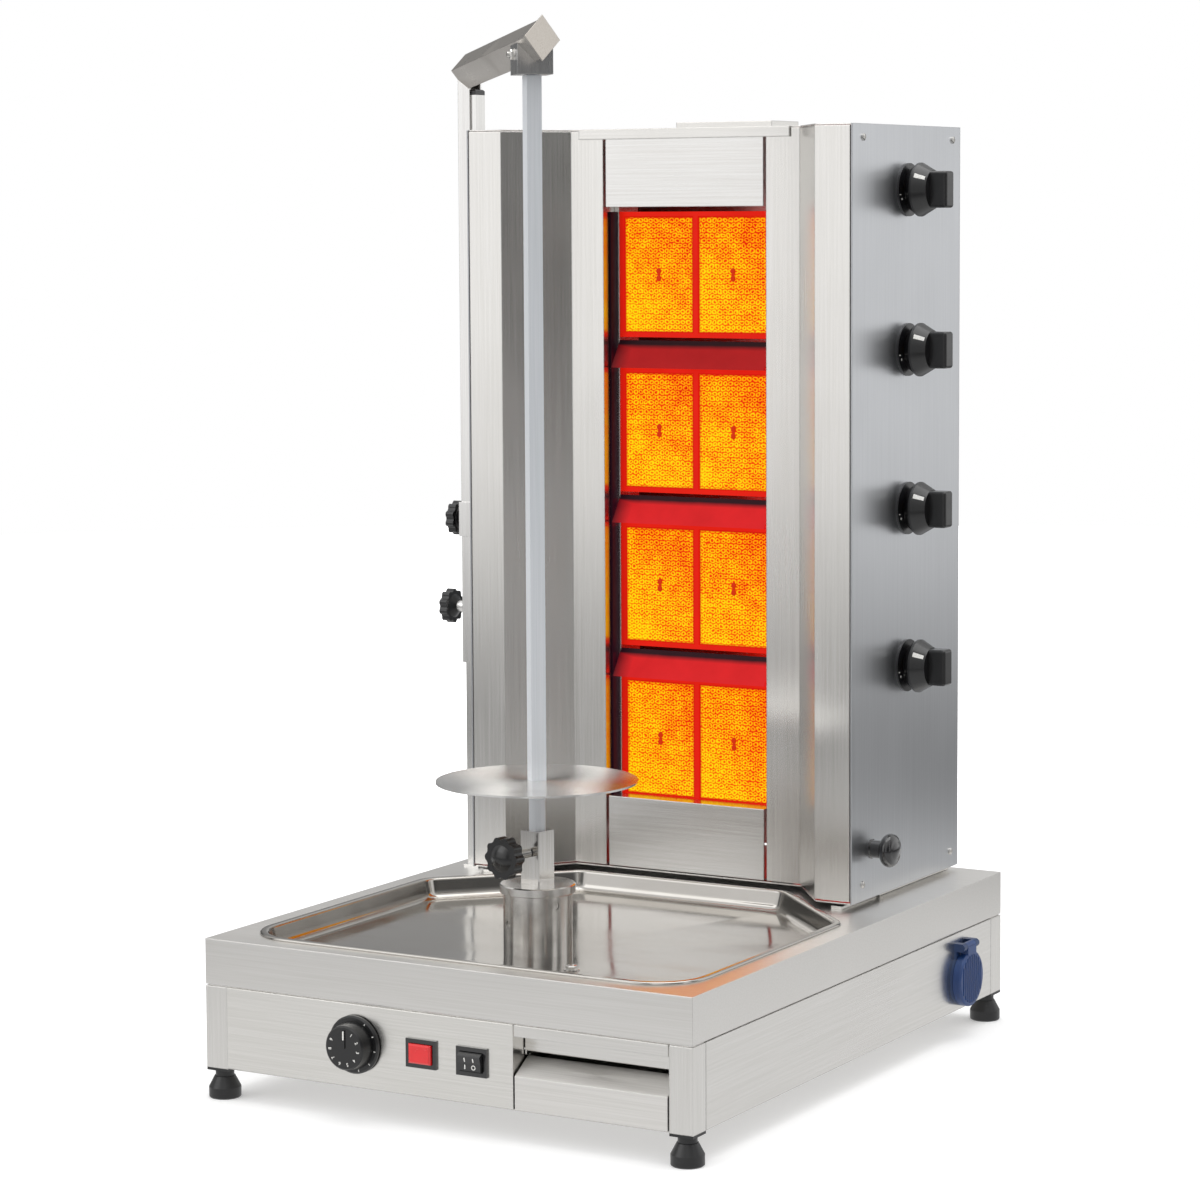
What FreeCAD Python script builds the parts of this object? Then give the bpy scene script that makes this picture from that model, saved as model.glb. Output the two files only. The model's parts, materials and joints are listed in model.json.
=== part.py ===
import FreeCAD, Part
import math
import os

# Gas doner kebab grill. Millimetres, +Z up, +X to the right of the control panel, +Y to the back.
# The origin is on the floor, under the middle of the base.

V = FreeCAD.Vector

# Base cabinet
base_width = 530.0
base_depth = 672.0
deck_top = 155.0
rim_height = 44.0
rim_gap = 1.5
foot_height = 30.0
post_side = 24.0
post_wall = 1.5
sheet = 1.5
seam = 1.0
touch = 0.3
angle_leg = 20.0
floor_vent_length = 90.0
floor_vent_width = 8.0
floor_vent_count = 6
floor_vent_pitch = 22.0

# Drip pan, let into the deck, with its rear corners cut off
pan_half_width = 235.0
pan_front_y = -308.0
pan_rear_y = 124.0
pan_rear_chamfer = 116.0
pan_depth = 18.0
pan_wall = 1.2
pan_draft = 5.5
pan_rim_width = 7.0
pan_rim_rise = 2.6
pan_rim_round = 1.9
pan_front_radius = 46.0
pan_rear_radius = 14.0

# Spit drive, on the axis where the skewer turns
spit_y = -160.0
column_radius = 33.2
column_height = 57.5
cap_radius = 36.5
cap_height = 8.5
shaft_radius = 10.0
shaft_length = 92.0
run_clearance = 0.05
gearbox_side = 84.0
gearbox_height = 62.0
motor_radius = 30.0
motor_length = 120.0
column_screw_radius = 3.5
column_screw_height = 17.0
column_screw_recess = 3.0
column_screw_azimuths = [-118.0, -28.0]

# Skewer, meat plate and clamp block
block_side = 23.5
block_height = 51.5
block_turn = -10.0
block_pin_radius = 8.0
block_pin_depth = 38.0
skewer_side = 14.5
skewer_turn = -41.5
skewer_top_z = 971.4
skewer_pin_radius = 5.0
skewer_pin_length = 11.0
plate_radius = 97.0
plate_thickness = 2.0
plate_top_z = 303.0
hub_radius = 27.0
hub_height = 4.0
collar_radius = 14.0
collar_height = 10.0
clamp_knob_z = 234.0

# Star knobs
star_radius = 20.5
star_lobes = 10
star_lobe_depth = 2.4
star_thickness = 11.0
star_dome = 4.5
star_hub_length = 8.0
star_stem_radius = 4.0
star_bowl_ratio = 0.72
star_neck_ratio = 0.8
spit_stem_bare = 22.0
mast_star_radius = 18.0
mast_star_thickness = 9.0
mast_star_dome = 3.5
mast_star_hub_length = 5.0

# Mast: fixed guide post, sliding channel, arm and top bearing
post_gap = 15.7
post_y = 111.0
guide_side = 18.0
guide_wall = 1.8
guide_top_z = 965.0
guide_foot = 34.0
guide_foot_thickness = 3.0
plug_height = 5.6
channel_wall = 2.0
channel_clearance = 0.4
channel_lip = 14.5
channel_bottom_z = 372.0
collar_length = 36.0
upper_knob_z = 523.5
lower_knob_z = 430.0
lower_boss_length = 11.0
lower_boss_radius = 6.0
arm_side = 26.0
arm_wall = 2.0
arm_azimuth = -48.0
arm_rise = 2.0
arm_axis_z = 1002.0
arm_overhang_x = 33.0
arm_cap_side = 30.0
arm_cap_thickness = 3.0
arm_vent_radius = 3.0
bracket_half_length = 18.0
bracket_half_width = 17.0
bracket_plate_z = 972.0
bracket_thickness = 2.5

# Burner tower
tower_half_width = 220.3
tower_front_y = 73.2
tower_back_y = 325.2
tower_bottom_z = 161.0
tower_top_z = 928.0
wing_lift = 3.0
wing_outer_inner_x = 179.5
wing_inner_outer_x = 132.0
wing_inner_inner_x = 94.2
wing_inner_y = 135.0
wing_return = 23.0
centre_gap = 3.2
centre_top_height = 69.0
centre_bottom_height = 73.0
cover_lip_half_width = 121.5
cover_lip_height = 10.5
cover_lip_gap = 1.0
vent_half_length = 56.0
vent_centre_x = 0.0
vent_front_y = 222.0
vent_back_y = 282.0
vent_rise = 8.0
tower_travel = 90.0

# Burners
burner_count = 4
burner_pitch = 160.6
burner_top_z = 839.0
burner_height = 120.0
burner_half_width = 84.0
burner_divider = 5.0
burner_frame = 4.5
burner_depth = 38.0
tile_y = 160.0
tile_thickness = 12.0
tile_clearance = 0.2
mixing_tube_radius = 11.0
mixing_tube_length = 62.0
shelf_thickness = 1.5
shelf_rise = 4.0
shelf_drop = 33.0
shelf_front = 17.0
reflector_depth = 11.0

# Gas train, on the right of the tower
knob_y = 200.5
knob_top_z = 864.0
knob_pitch = 159.5
disc_radius = 26.5
disc_thickness = 1.8
disc_bore_radius = 7.0
knob_stand_off = 5.2
knob_foot_radius = 21.0
knob_skirt_radius = 26.8
knob_neck_radius = 19.5
knob_flare_height = 7.6
knob_skirt_height = 2.0
knob_cone_height = 13.0
knob_grip_length = 18.0
knob_grip_width = 19.0
knob_grip_height = 36.5
knob_grip_round = 3.0
knob_push = 3.0
stem_radius = 4.0
stem_in_knob = 20.0
stem_in_valve = 16.0
valve_half_side = 12.0
valve_length = 46.0
valve_nose = 8.0
manifold_side = 16.0
manifold_inset = 3.5
manifold_y = 240.0
inlet_z = 212.0
inlet_radius = 10.5
inlet_length = 26.0
inlet_hex = 27.0
inlet_hex_length = 8.0
inlet_bore_radius = 6.0

# Pull handle for the tower
handle_y = 119.0
handle_z = 210.5
handle_stem_radius = 8.5
handle_stem_length = 11.0
handle_ball_radius = 16.5
handle_ball_set = 5.5
handle_foot_step = 1.5

# Rails that the tower slides on
rail_inset = 17.3
rail_width = 12.0
rail_height = 3.5
rail_clearance = 0.3
shoe_wall = 2.0
shoe_front_y = 156.0
rack_width = 24.0
rack_depth = 40.0
feed_radius = 3.0
feed_inset = 13.5

# Tower screws
screw_head_radius = 3.6
screw_head_height = 2.4
screw_inset = 24.0

# Control panel and drawer, on the front
drawer_width = 162.2
dial_x = -93.0
dial_z = 72.0
dial_radius = 27.5
dial_skirt_thickness = 4.0
dial_body_radius = 21.0
dial_body_height = 15.0
dial_stand_off = 1.2
dial_pointer_width = 3.0
dial_pointer_height = 1.0
spindle_radius = 3.0
spindle_length = 13.0
control_body_radius = 15.0
control_body_length = 18.0
button_x = -19.5
button_z = 71.5
rocker_x = 35.5
rocker_z = 70.5
bezel_width = 33.0
bezel_height = 27.0
bezel_proud = 2.4
bezel_border = 4.0
switch_body_length = 24.0
cap_clearance = 0.4
cap_proud = 3.6
button_travel = 2.5
button_length = 10.0
rocker_tilt = 8.0
rocker_front = 5.0
rocker_back = 4.0

lip_height = 10.7
grip_depth = 20.0
grip_back_height = 16.8
drawer_front_height = 31.2
drawer_slope_rise = 14.6
drawer_slope_depth = 24.0
drawer_gap = 0.8
drawer_length = 266.0
drawer_side_height = 38.0
drawer_travel = 220.0
runner_width = 12.0

# Mains inlet with its hinged lid, on the right side
socket_y = 238.0
socket_z = 62.0
socket_radius = 26.0
socket_flange_radius = 28.5
socket_flange = 2.5
socket_depth = 34.0
socket_well_radius = 20.5
socket_well_depth = 28.0
socket_pin_radius = 2.4
socket_pin_length = 19.0
socket_pin_circle = 9.5
lid_radius = 28.5
lid_thickness = 9.0
lid_gap = 0.4
lid_rib_count = 9
lid_rib_pitch = 5.0
lid_rib_width = 2.4
lid_rib_rise = 0.8
hinge_radius = 4.2
hinge_pin_radius = 1.6
hinge_z_offset = 34.0
hinge_lug_width = 8.0
hinge_barrel_width = 20.0

# Levelling feet
foot_plate_thickness = 2.6
foot_plug_length = 16.0
foot_thread_radius = 5.0
foot_thread_length = 22.0
foot_neck_radius = 9.0
foot_neck_height = 6.2
foot_cone_height = 10.5
foot_base_radius = 15.5
foot_base_height = 10.4
foot_base_bevel = 1.2

# Derived places
half_w = base_width / 2
half_d = base_depth / 2
post_x = -tower_half_width - post_gap
drawer_right_x = half_w - post_side
panel_left_x = -drawer_right_x
panel_right_x = drawer_right_x - drawer_width
front_y = -half_d
back_y = half_d
deck_under = deck_top - sheet
rim_bottom = deck_top - rim_height
post_top = rim_bottom - rim_gap
post_centre_x = half_w - post_side / 2
post_centre_y = half_d - post_side / 2
pan_floor_z = deck_top - pan_depth
column_top = pan_floor_z + column_height
cap_bottom = column_top + touch
cap_top = cap_bottom + cap_height
block_top = cap_top + block_height
channel_x0 = post_x - guide_side / 2 - channel_clearance - channel_wall
channel_x1 = channel_x0 + channel_lip
channel_y0 = post_y - guide_side / 2 - channel_clearance - channel_wall
channel_y1 = post_y + guide_side / 2 + channel_clearance + channel_wall
collar_x0 = channel_x0 - channel_wall
collar_x1 = post_x + guide_side / 2 + channel_clearance + channel_wall
wing_bottom = tower_bottom_z + wing_lift
centre_half = wing_inner_inner_x - centre_gap
skin_x = tower_half_width - sheet
tile_half = (2 * burner_half_width - burner_divider) / 4
burner_half = burner_half_width + burner_frame
rack_y = wing_inner_y + wing_return + touch
pipe_y = tile_y + burner_depth + mixing_tube_radius + 2 * seam
valve_x0 = skin_x - touch - valve_length
feed_x = valve_x0 + feed_inset
manifold_x = valve_x0 + manifold_inset
rail_x = tower_half_width - rail_inset
knob_base_x = tower_half_width + knob_stand_off
knob_heights = [knob_top_z - i * knob_pitch for i in range(burner_count)]
burner_tops = [burner_top_z - i * burner_pitch for i in range(burner_count)]
lip_bottom = post_top - lip_height
drawer_bottom = foot_height + seam
drawer_face_top = drawer_bottom + drawer_front_height
hinge_x = half_w + socket_flange + lid_gap + lid_thickness / 2
hinge_z = socket_z + hinge_z_offset
centre_line = V(0, spit_y, 0)


def box(x0, y0, z0, x1, y1, z1):
    return Part.makeBox(x1 - x0, y1 - y0, z1 - z0, V(x0, y0, z0))


def rod(radius, start, end):
    along = end - start
    return Part.makeCylinder(radius, along.Length, start, along)


def tube(radius, bore, start, end):
    return rod(radius, start, end).cut(rod(bore, start, end))


def fused(shapes):
    whole = shapes[0]
    if len(shapes) > 1:
        whole = shapes[0].fuse(shapes[1:])
    return whole.removeSplitter()


def cut_all(shape, tools):
    return shape.cut(Part.makeCompound(tools)).removeSplitter()


def group(shapes):
    return Part.makeCompound(shapes)


def mirrored(shape):
    return shape.mirror(V(0, 0, 0), V(1, 0, 0))


def turned(shape, degrees, centre=centre_line, axis=V(0, 0, 1)):
    copy = shape.copy()
    copy.rotate(centre, axis, degrees)
    return copy


def face_of(points):
    return Part.Face(Part.makePolygon(points + [points[0]]))


def prism(plan, z0, z1):
    """A solid over a plan outline, from z0 up to z1."""
    return face_of([V(x, y, z0) for x, y in plan]).extrude(V(0, 0, z1 - z0))


def side_prism(profile, x0, x1):
    """A solid with a side outline of (y, z) points, from x0 across to x1."""
    return face_of([V(x0, y, z) for y, z in profile]).extrude(V(x1 - x0, 0, 0))


def band(line, thickness):
    """The closed outline of a folded sheet whose right-hand face follows the line."""
    normals = []
    for (ax, ay), (bx, by) in zip(line, line[1:]):
        length = math.hypot(bx - ax, by - ay)
        normals.append(((ay - by) / length, (bx - ax) / length))
    far = []
    for i, (x, y) in enumerate(line):
        before = normals[max(i - 1, 0)]
        after = normals[min(i, len(normals) - 1)]
        reach = thickness / (1 + before[0] * after[0] + before[1] * after[1])
        far.append((x + (before[0] + after[0]) * reach, y + (before[1] + after[1]) * reach))
    return list(line) + far[::-1]


def rounded_wire(corners, radii, z):
    """A closed wire through corners (x, y), each rounded with its own radius."""
    count = len(corners)
    arcs = []
    for i, (x, y) in enumerate(corners):
        here = V(x, y, z)
        to_last = (V(*corners[i - 1], z) - here).normalize()
        to_next = (V(*corners[(i + 1) % count], z) - here).normalize()
        half_angle = to_last.getAngle(to_next) / 2
        reach = radii[i] / math.tan(half_angle)
        middle = (to_last + to_next).normalize()
        depth = radii[i] / math.sin(half_angle) - radii[i]
        arcs.append((here + to_last * reach, here + middle * depth, here + to_next * reach))
    edges = []
    for i, (start, middle, end) in enumerate(arcs):
        edges.append(Part.Arc(start, middle, end).toShape())
        edges.append(Part.makeLine(end, arcs[(i + 1) % count][0]))
    return Part.Wire(edges)


def revolved(profile, centre, axis_turn=None):
    """A solid of revolution about +Z from (radius, height) points, then turned and placed."""
    solid = face_of([V(r, 0, h) for r, h in profile]).revolve(V(0, 0, 0), V(0, 0, 1), 360)
    if axis_turn:
        solid.rotate(V(0, 0, 0), axis_turn[0], axis_turn[1])
    solid.translate(centre)
    return solid


quarter = 90.0
to_right = (V(0, 1, 0), quarter)
to_left = (V(0, 1, 0), -quarter)
to_front = (V(1, 0, 0), quarter)


def star_outline(radius, z):
    """Lobes and hollows in turn round a circle, each one an arc."""
    points = []
    steps = star_lobes * 4
    for i in range(steps):
        level = (0.0, 0.5, 1.0, 0.5)[i % 4]
        r = radius - star_lobe_depth * level
        angle = 2 * math.pi * i / steps
        points.append(V(r * math.cos(angle), r * math.sin(angle), z))
    edges = []
    for i in range(1, steps, 2):
        ring = (points[i], points[(i + 1) % steps], points[(i + 2) % steps])
        edges.append(Part.Arc(*ring).toShape())
    return Part.Wire(edges)


def star_knob(radius, thickness, dome, hub, stem, turn, centre):
    """A star grip with a domed cap, a hub and a threaded stem that points down its own -Z."""
    grip = Part.Face(star_outline(radius, 0)).extrude(V(0, 0, thickness))
    rim = radius - star_lobe_depth
    bowl = rim * star_bowl_ratio
    sphere_radius = (bowl ** 2 + dome ** 2) / (2 * dome)
    ball = Part.makeSphere(sphere_radius, V(0, 0, thickness + dome - sphere_radius))
    keep = Part.makeCylinder(rim, dome * 2, V(0, 0, thickness - dome * 0.1))
    cap = ball.common(keep)
    neck = Part.makeCone(star_stem_radius + 2.0, rim * star_neck_ratio, hub, V(0, 0, -hub))
    shank = Part.makeCylinder(star_stem_radius, stem, V(0, 0, -hub - stem))
    knob = fused([grip, cap, neck, shank])
    knob.rotate(V(0, 0, 0), turn[0], turn[1])
    knob.translate(centre)
    return knob


# Base cabinet

def pan_corners(inset):
    """The pan's plan outline, every side moved inwards by inset."""
    half = pan_half_width - inset
    front = pan_front_y + inset
    rear = pan_rear_y - inset
    chamfer = pan_rear_chamfer - inset * (2 - math.sqrt(2))
    right = [(half, front), (half, rear - chamfer), (half - chamfer, rear)]
    left = [(-x, y) for x, y in reversed(right)]
    return right + left


def pan_wire(inset, z):
    front = pan_front_radius - inset
    rear = pan_rear_radius - min(inset, pan_rear_radius / 2)
    return rounded_wire(pan_corners(inset), [front, rear, rear, rear, rear, front], z)


def pan_slab(inset, z0, z1):
    return Part.Face(pan_wire(inset, z0)).extrude(V(0, 0, z1 - z0))


def drip_pan():
    floor_under = pan_floor_z - pan_wall
    rim_top = deck_top + pan_rim_rise
    outer = Part.makeLoft([pan_wire(0, deck_top), pan_wire(pan_draft, floor_under)], True, True)
    inner_top = pan_wire(pan_wall, rim_top)
    inner_floor = pan_wire(pan_draft + pan_wall, pan_floor_z)
    hollow = Part.makeLoft([inner_top, inner_floor], True, True)
    rim = pan_slab(-pan_rim_width, deck_top, rim_top)
    rim = rim.makeFillet(pan_rim_round, [e for e in rim.Edges if e.BoundBox.ZMin > rim_top - touch])
    whole = fused([outer, rim]).cut(hollow)
    shaft_hole = rod(shaft_radius * 2, centre_line, centre_line + V(0, 0, deck_top))
    return cut_all(whole, [shaft_hole])


def top_deck():
    outer = box(-half_w, front_y, rim_bottom, half_w, back_y, deck_top)
    inner = box(-half_w + sheet, front_y + sheet, rim_bottom, half_w - sheet, back_y - sheet, deck_under)
    mouth = pan_slab(-touch, deck_under, deck_top)
    return cut_all(outer, [inner, mouth])


def angle_ring(reach, z0, z1, flange_z0, flange_z1):
    """A ring of angle section: a wall of sheet, and a flange of angle_leg at one height."""
    outer = box(-half_w + reach, front_y + reach, z0, half_w - reach, back_y - reach, z1)
    wall_in = reach + sheet
    inner = box(-half_w + wall_in, front_y + wall_in, z0, half_w - wall_in, back_y - wall_in, z1)
    leg = reach + angle_leg
    flange = box(-half_w + reach, front_y + reach, flange_z0, half_w - reach, back_y - reach, flange_z1)
    window = box(-half_w + leg, front_y + leg, flange_z0, half_w - leg, back_y - leg, flange_z1)
    return fused([outer.cut(inner), flange.cut(window)])


def base_frame():
    parts = []
    hollows = []
    for sx in (-1, 1):
        for sy in (-1, 1):
            x = sx * post_centre_x
            y = sy * post_centre_y
            h = post_side / 2
            w = h - post_wall
            parts.append(box(x - h, y - h, foot_height, x + h, y + h, post_top))
            hollows.append(box(x - w, y - w, foot_height, x + w, y + w, post_top - post_wall))
    reach = sheet + touch
    parts.append(angle_ring(reach, post_top, deck_under, deck_under - sheet, deck_under))
    low = foot_height + sheet
    parts.append(angle_ring(reach + sheet, low, low + angle_leg, low, low + sheet))
    frame = fused(parts)
    front_gap = box(panel_left_x, front_y, low, drawer_right_x, front_y + post_side, post_top)
    inlet_hole = rod(socket_radius + touch, V(0, socket_y, socket_z), V(half_w, socket_y, socket_z))
    return cut_all(frame, hollows + [front_gap, inlet_hole])


def side_panel(side):
    inner = half_d - post_side - seam
    x0 = half_w - sheet
    panel = box(x0, -inner, foot_height, half_w, inner, post_top)
    if side < 0:
        return mirrored(panel)
    hole = rod(socket_radius + touch, V(x0, socket_y, socket_z), V(half_w, socket_y, socket_z))
    return cut_all(panel, [hole])


def chassis_pan():
    """The floor and the rear wall, one folded sheet, with rows of cooling slots in the floor."""
    inner_x = half_w - post_side - seam
    wide_x = half_w - sheet - touch
    z0 = foot_height
    z1 = foot_height + sheet
    reach_y = half_d - post_side - seam
    floor = box(-inner_x, front_y + sheet + touch, z0, inner_x, back_y, z1)
    wide = box(-wide_x, -reach_y, z0, wide_x, reach_y, z1)
    wall = box(-inner_x, back_y - sheet, z0, inner_x, back_y, post_top)
    slots = []
    for i in range(floor_vent_count):
        y = (i - (floor_vent_count - 1) / 2) * floor_vent_pitch + spit_y / 2
        half = floor_vent_length / 2
        slots.append(box(-half, y, z0, half, y + floor_vent_width, z1))
    return cut_all(fused([floor, wide, wall]), slots)


def control_panel():
    y1 = front_y + sheet
    z0 = foot_height + seam
    face = box(panel_left_x, front_y, z0, panel_right_x, y1, post_top)
    flange_y = front_y + angle_leg
    top = box(panel_left_x, front_y, post_top - sheet, panel_right_x, flange_y, post_top)
    right = box(panel_right_x - sheet, front_y, z0 + sheet, panel_right_x, flange_y, post_top)
    holes = [rod(spindle_radius + seam, V(dial_x, front_y, dial_z), V(dial_x, y1, dial_z))]
    half_x = bezel_width / 2 - bezel_border / 2
    half_z = bezel_height / 2 - bezel_border / 2
    for x, z in ((button_x, button_z), (rocker_x, rocker_z)):
        holes.append(box(x - half_x, front_y, z - half_z, x + half_x, y1, z + half_z))
    return cut_all(fused([face, top, right]), holes)


def switch_housing(x, z):
    """A bezel in front of the panel, a body behind it and a well for the cap."""
    bezel_y = front_y - bezel_proud
    half_x = bezel_width / 2
    half_z = bezel_height / 2
    bezel = box(x - half_x, bezel_y, z - half_z, x + half_x, front_y, z + half_z)
    step = bezel_border / 2 + touch
    body_end = front_y + switch_body_length
    body = box(x - half_x + step, front_y, z - half_z + step, x + half_x - step, body_end, z + half_z - step)
    well_x = half_x - bezel_border
    well_z = half_z - bezel_border
    well_end = body_end - bezel_border
    well = box(x - well_x, bezel_y, z - well_z, x + well_x, well_end, z + well_z)
    return cut_all(fused([bezel, body]), [well])


def switch_housings():
    back = front_y + sheet
    body_end = V(dial_x, back + control_body_length, dial_z)
    control = rod(control_body_radius, V(dial_x, back, dial_z), body_end)
    spindle = rod(spindle_radius, V(dial_x, front_y - spindle_length, dial_z), body_end)
    return group([fused([control, spindle]), switch_housing(button_x, button_z),
                  switch_housing(rocker_x, rocker_z)])


def red_button():
    half_x = bezel_width / 2 - bezel_border - cap_clearance
    half_z = bezel_height / 2 - bezel_border - cap_clearance
    face_y = front_y - bezel_proud - cap_proud
    cap = box(button_x - half_x, face_y, button_z - half_z,
              button_x + half_x, face_y + button_length, button_z + half_z)
    front_edges = [e for e in cap.Edges if e.BoundBox.YMax < face_y + touch]
    return cap.makeChamfer(1.6, front_edges)


def rocker_cap():
    """A cap with two flat halves that meet at a shallow angle, rounded about its own pivot."""
    half_x = bezel_width / 2 - bezel_border - cap_clearance
    radius = bezel_height / 2 - bezel_border - cap_clearance
    pivot_y = front_y - bezel_proud - cap_proud + rocker_front
    drum = rod(radius, V(rocker_x - half_x, pivot_y, rocker_z), V(rocker_x + half_x, pivot_y, rocker_z))
    slope = math.tan(math.radians(rocker_tilt)) * radius
    front = pivot_y - rocker_front
    back = pivot_y + rocker_back
    low = rocker_z - radius
    high = rocker_z + radius
    outline = [(back, low), (front - slope, low), (front, rocker_z), (front - slope, high), (back, high)]
    cap = drum.common(side_prism(outline, rocker_x - half_x, rocker_x + half_x))
    return turned(cap, rocker_tilt, V(rocker_x, pivot_y, rocker_z), V(1, 0, 0))


def speed_dial():
    """A skirted dial: a flat skirt, a tapered body and a raised pointer on its face."""
    body_end = dial_skirt_thickness + dial_body_height
    bore = spindle_radius + run_clearance
    bore_end = spindle_length - dial_stand_off + touch
    profile = [(bore, 0), (dial_radius, 0), (dial_radius, dial_skirt_thickness - 1.5),
               (dial_radius - 1.5, dial_skirt_thickness), (dial_body_radius + 1.5, dial_skirt_thickness),
               (dial_body_radius, body_end - 1.5), (dial_body_radius - 1.5, body_end),
               (0, body_end), (0, bore_end), (bore, bore_end)]
    solid = revolved(profile, V(0, 0, 0))
    half = dial_pointer_width / 2
    pointer = box(-half, 0, body_end, half, dial_body_radius - 4, body_end + dial_pointer_height)
    dial = fused([solid, pointer])
    dial.rotate(V(0, 0, 0), to_front[0], to_front[1])
    dial.translate(V(dial_x, front_y - dial_stand_off, dial_z))
    return dial


# Drawer

def drawer_housing():
    """The fixed lip over the finger gap, the gap's back strip and the two side runners."""
    x0 = panel_right_x + seam
    x1 = drawer_right_x - seam
    back = front_y + grip_depth
    lip = [(front_y, lip_bottom), (front_y, post_top), (back + sheet, post_top),
           (back + sheet, lip_bottom - grip_back_height), (back, lip_bottom - grip_back_height),
           (back, post_top - sheet), (front_y + sheet, post_top - sheet), (front_y + sheet, lip_bottom)]
    parts = [side_prism(lip, x0, x1)]
    end = front_y + grip_depth + drawer_length + seam
    low = foot_height + sheet + touch
    rest = low + sheet
    for wall0, wall1, leg0, leg1 in ((x0, x0 + sheet, x0, x0 + runner_width),
                                     (x1 - sheet, x1, x1 - runner_width, x1)):
        parts.append(box(wall0, front_y + grip_depth, low, wall1, end, post_top))
        parts.append(box(leg0, front_y + grip_depth, low, leg1, end, rest))
    slope_end = front_y + drawer_slope_depth + sheet + seam
    slope_top = drawer_face_top + drawer_slope_rise + sheet
    slope_room = box(x0, front_y, low, x1, slope_end, slope_top)
    return cut_all(fused(parts), [slope_room])


def drawer_front():
    """A folded front: the face, and the sloping grip that runs up and back into the gap."""
    x0 = panel_right_x + seam + drawer_gap
    x1 = drawer_right_x - seam - drawer_gap
    slope_y = front_y + drawer_slope_depth
    slope_z = drawer_face_top + drawer_slope_rise
    outer = [(front_y, drawer_bottom), (front_y, drawer_face_top), (slope_y, slope_z)]
    line = [(y, z) for y, z in reversed(outer)]
    return side_prism(band(line, sheet), x0, x1)


def drawer_box():
    gap = sheet + seam + drawer_gap
    x0 = panel_right_x + seam + gap
    x1 = drawer_right_x - seam - gap
    y0 = front_y + sheet
    inner_y0 = front_y + drawer_slope_depth + 2 * sheet
    y1 = front_y + grip_depth + drawer_length
    z0 = foot_height + 2 * sheet + 2 * touch
    z1 = z0 + drawer_side_height
    outer = box(x0, inner_y0, z0, x1, y1, z1)
    hollow = box(x0 + sheet, inner_y0 + sheet, z0 + sheet, x1 - sheet, y1 - sheet, z1)
    tongue = box(x0 + runner_width, y0, z0, x1 - runner_width, inner_y0, z0 + sheet)
    return fused([outer.cut(hollow), tongue])


# Mains inlet

def socket_housing():
    """A round flanged inlet with a deep well and three contact pins."""
    face_x = half_w + socket_flange
    axis = V(0, socket_y, socket_z)
    body = rod(socket_radius, axis + V(half_w - socket_depth, 0, 0), axis + V(half_w, 0, 0))
    flange = rod(socket_flange_radius, axis + V(half_w, 0, 0), axis + V(face_x, 0, 0))
    well = rod(socket_well_radius, axis + V(face_x - socket_well_depth, 0, 0), axis + V(face_x, 0, 0))
    lugs = []
    half = hinge_barrel_width / 2 + touch
    for y0, y1 in ((-half - hinge_lug_width, -half), (half, half + hinge_lug_width)):
        start = V(hinge_x, socket_y + y0, hinge_z)
        end = V(hinge_x, socket_y + y1, hinge_z)
        low = hinge_z - hinge_radius
        arm = box(half_w, socket_y + y0, low, hinge_x, socket_y + y1, low + 2 * hinge_radius)
        web = box(half_w, socket_y + y0, socket_z + socket_radius * 0.6, face_x, socket_y + y1, hinge_z)
        lugs += [rod(hinge_radius, start, end), arm, web]
    pin_end = half + hinge_lug_width
    hinge_line = V(hinge_x, socket_y, hinge_z)
    hinge_pin = rod(hinge_pin_radius, hinge_line - V(0, pin_end, 0), hinge_line + V(0, pin_end, 0))
    housing = fused([body, flange] + lugs + [hinge_pin]).cut(well)
    pins = []
    for i in range(3):
        angle = math.radians(90 + 120 * i)
        y = socket_y + socket_pin_circle * math.cos(angle)
        z = socket_z + socket_pin_circle * math.sin(angle)
        start = face_x - socket_well_depth
        pins.append(rod(socket_pin_radius, V(start, y, z), V(start + socket_pin_length, y, z)))
    return group([housing] + pins)


def socket_lid():
    """A round lid with upright ribs, a skirt and the middle barrel of its hinge."""
    x0 = half_w + socket_flange + lid_gap
    x1 = x0 + lid_thickness
    axis = V(0, socket_y, socket_z)
    disc = rod(lid_radius, axis + V(x0, 0, 0), axis + V(x1, 0, 0))
    edges = [e for e in disc.Edges if e.BoundBox.XMin > x1 - touch]
    disc = disc.makeFillet(2.5, edges)
    ribs = []
    for i in range(lid_rib_count):
        offset = (i - (lid_rib_count - 1) / 2) * lid_rib_pitch
        half_z = math.sqrt((lid_radius - 4) ** 2 - offset ** 2)
        y = socket_y + offset
        w = lid_rib_width / 2
        ribs.append(box(x1 - 1, y - w, socket_z - half_z, x1 + lid_rib_rise, y + w, socket_z + half_z))
    half = hinge_barrel_width / 2
    start = V(hinge_x, socket_y - half, hinge_z)
    end = V(hinge_x, socket_y + half, hinge_z)
    barrel = rod(hinge_radius, start, end)
    strap = box(x0, socket_y - half, socket_z + lid_radius * 0.6, x1, socket_y + half, hinge_z)
    bore = rod(hinge_pin_radius + run_clearance, start, end)
    return fused([disc, strap, barrel] + ribs).cut(bore)


# Feet

def foot_inserts():
    plugs = []
    for sx in (-1, 1):
        for sy in (-1, 1):
            x = sx * post_centre_x
            y = sy * post_centre_y
            h = post_side / 2
            w = h - post_wall - run_clearance
            plate = box(x - h, y - h, foot_height - foot_plate_thickness, x + h, y + h, foot_height)
            plug = box(x - w, y - w, foot_height, x + w, y + w, foot_height + foot_plug_length)
            low = V(x, y, 0)
            bore = rod(foot_thread_radius + run_clearance, low, low + V(0, 0, deck_under))
            plugs.append(cut_all(fused([plate, plug]), [bore]))
    return group(plugs)


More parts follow.
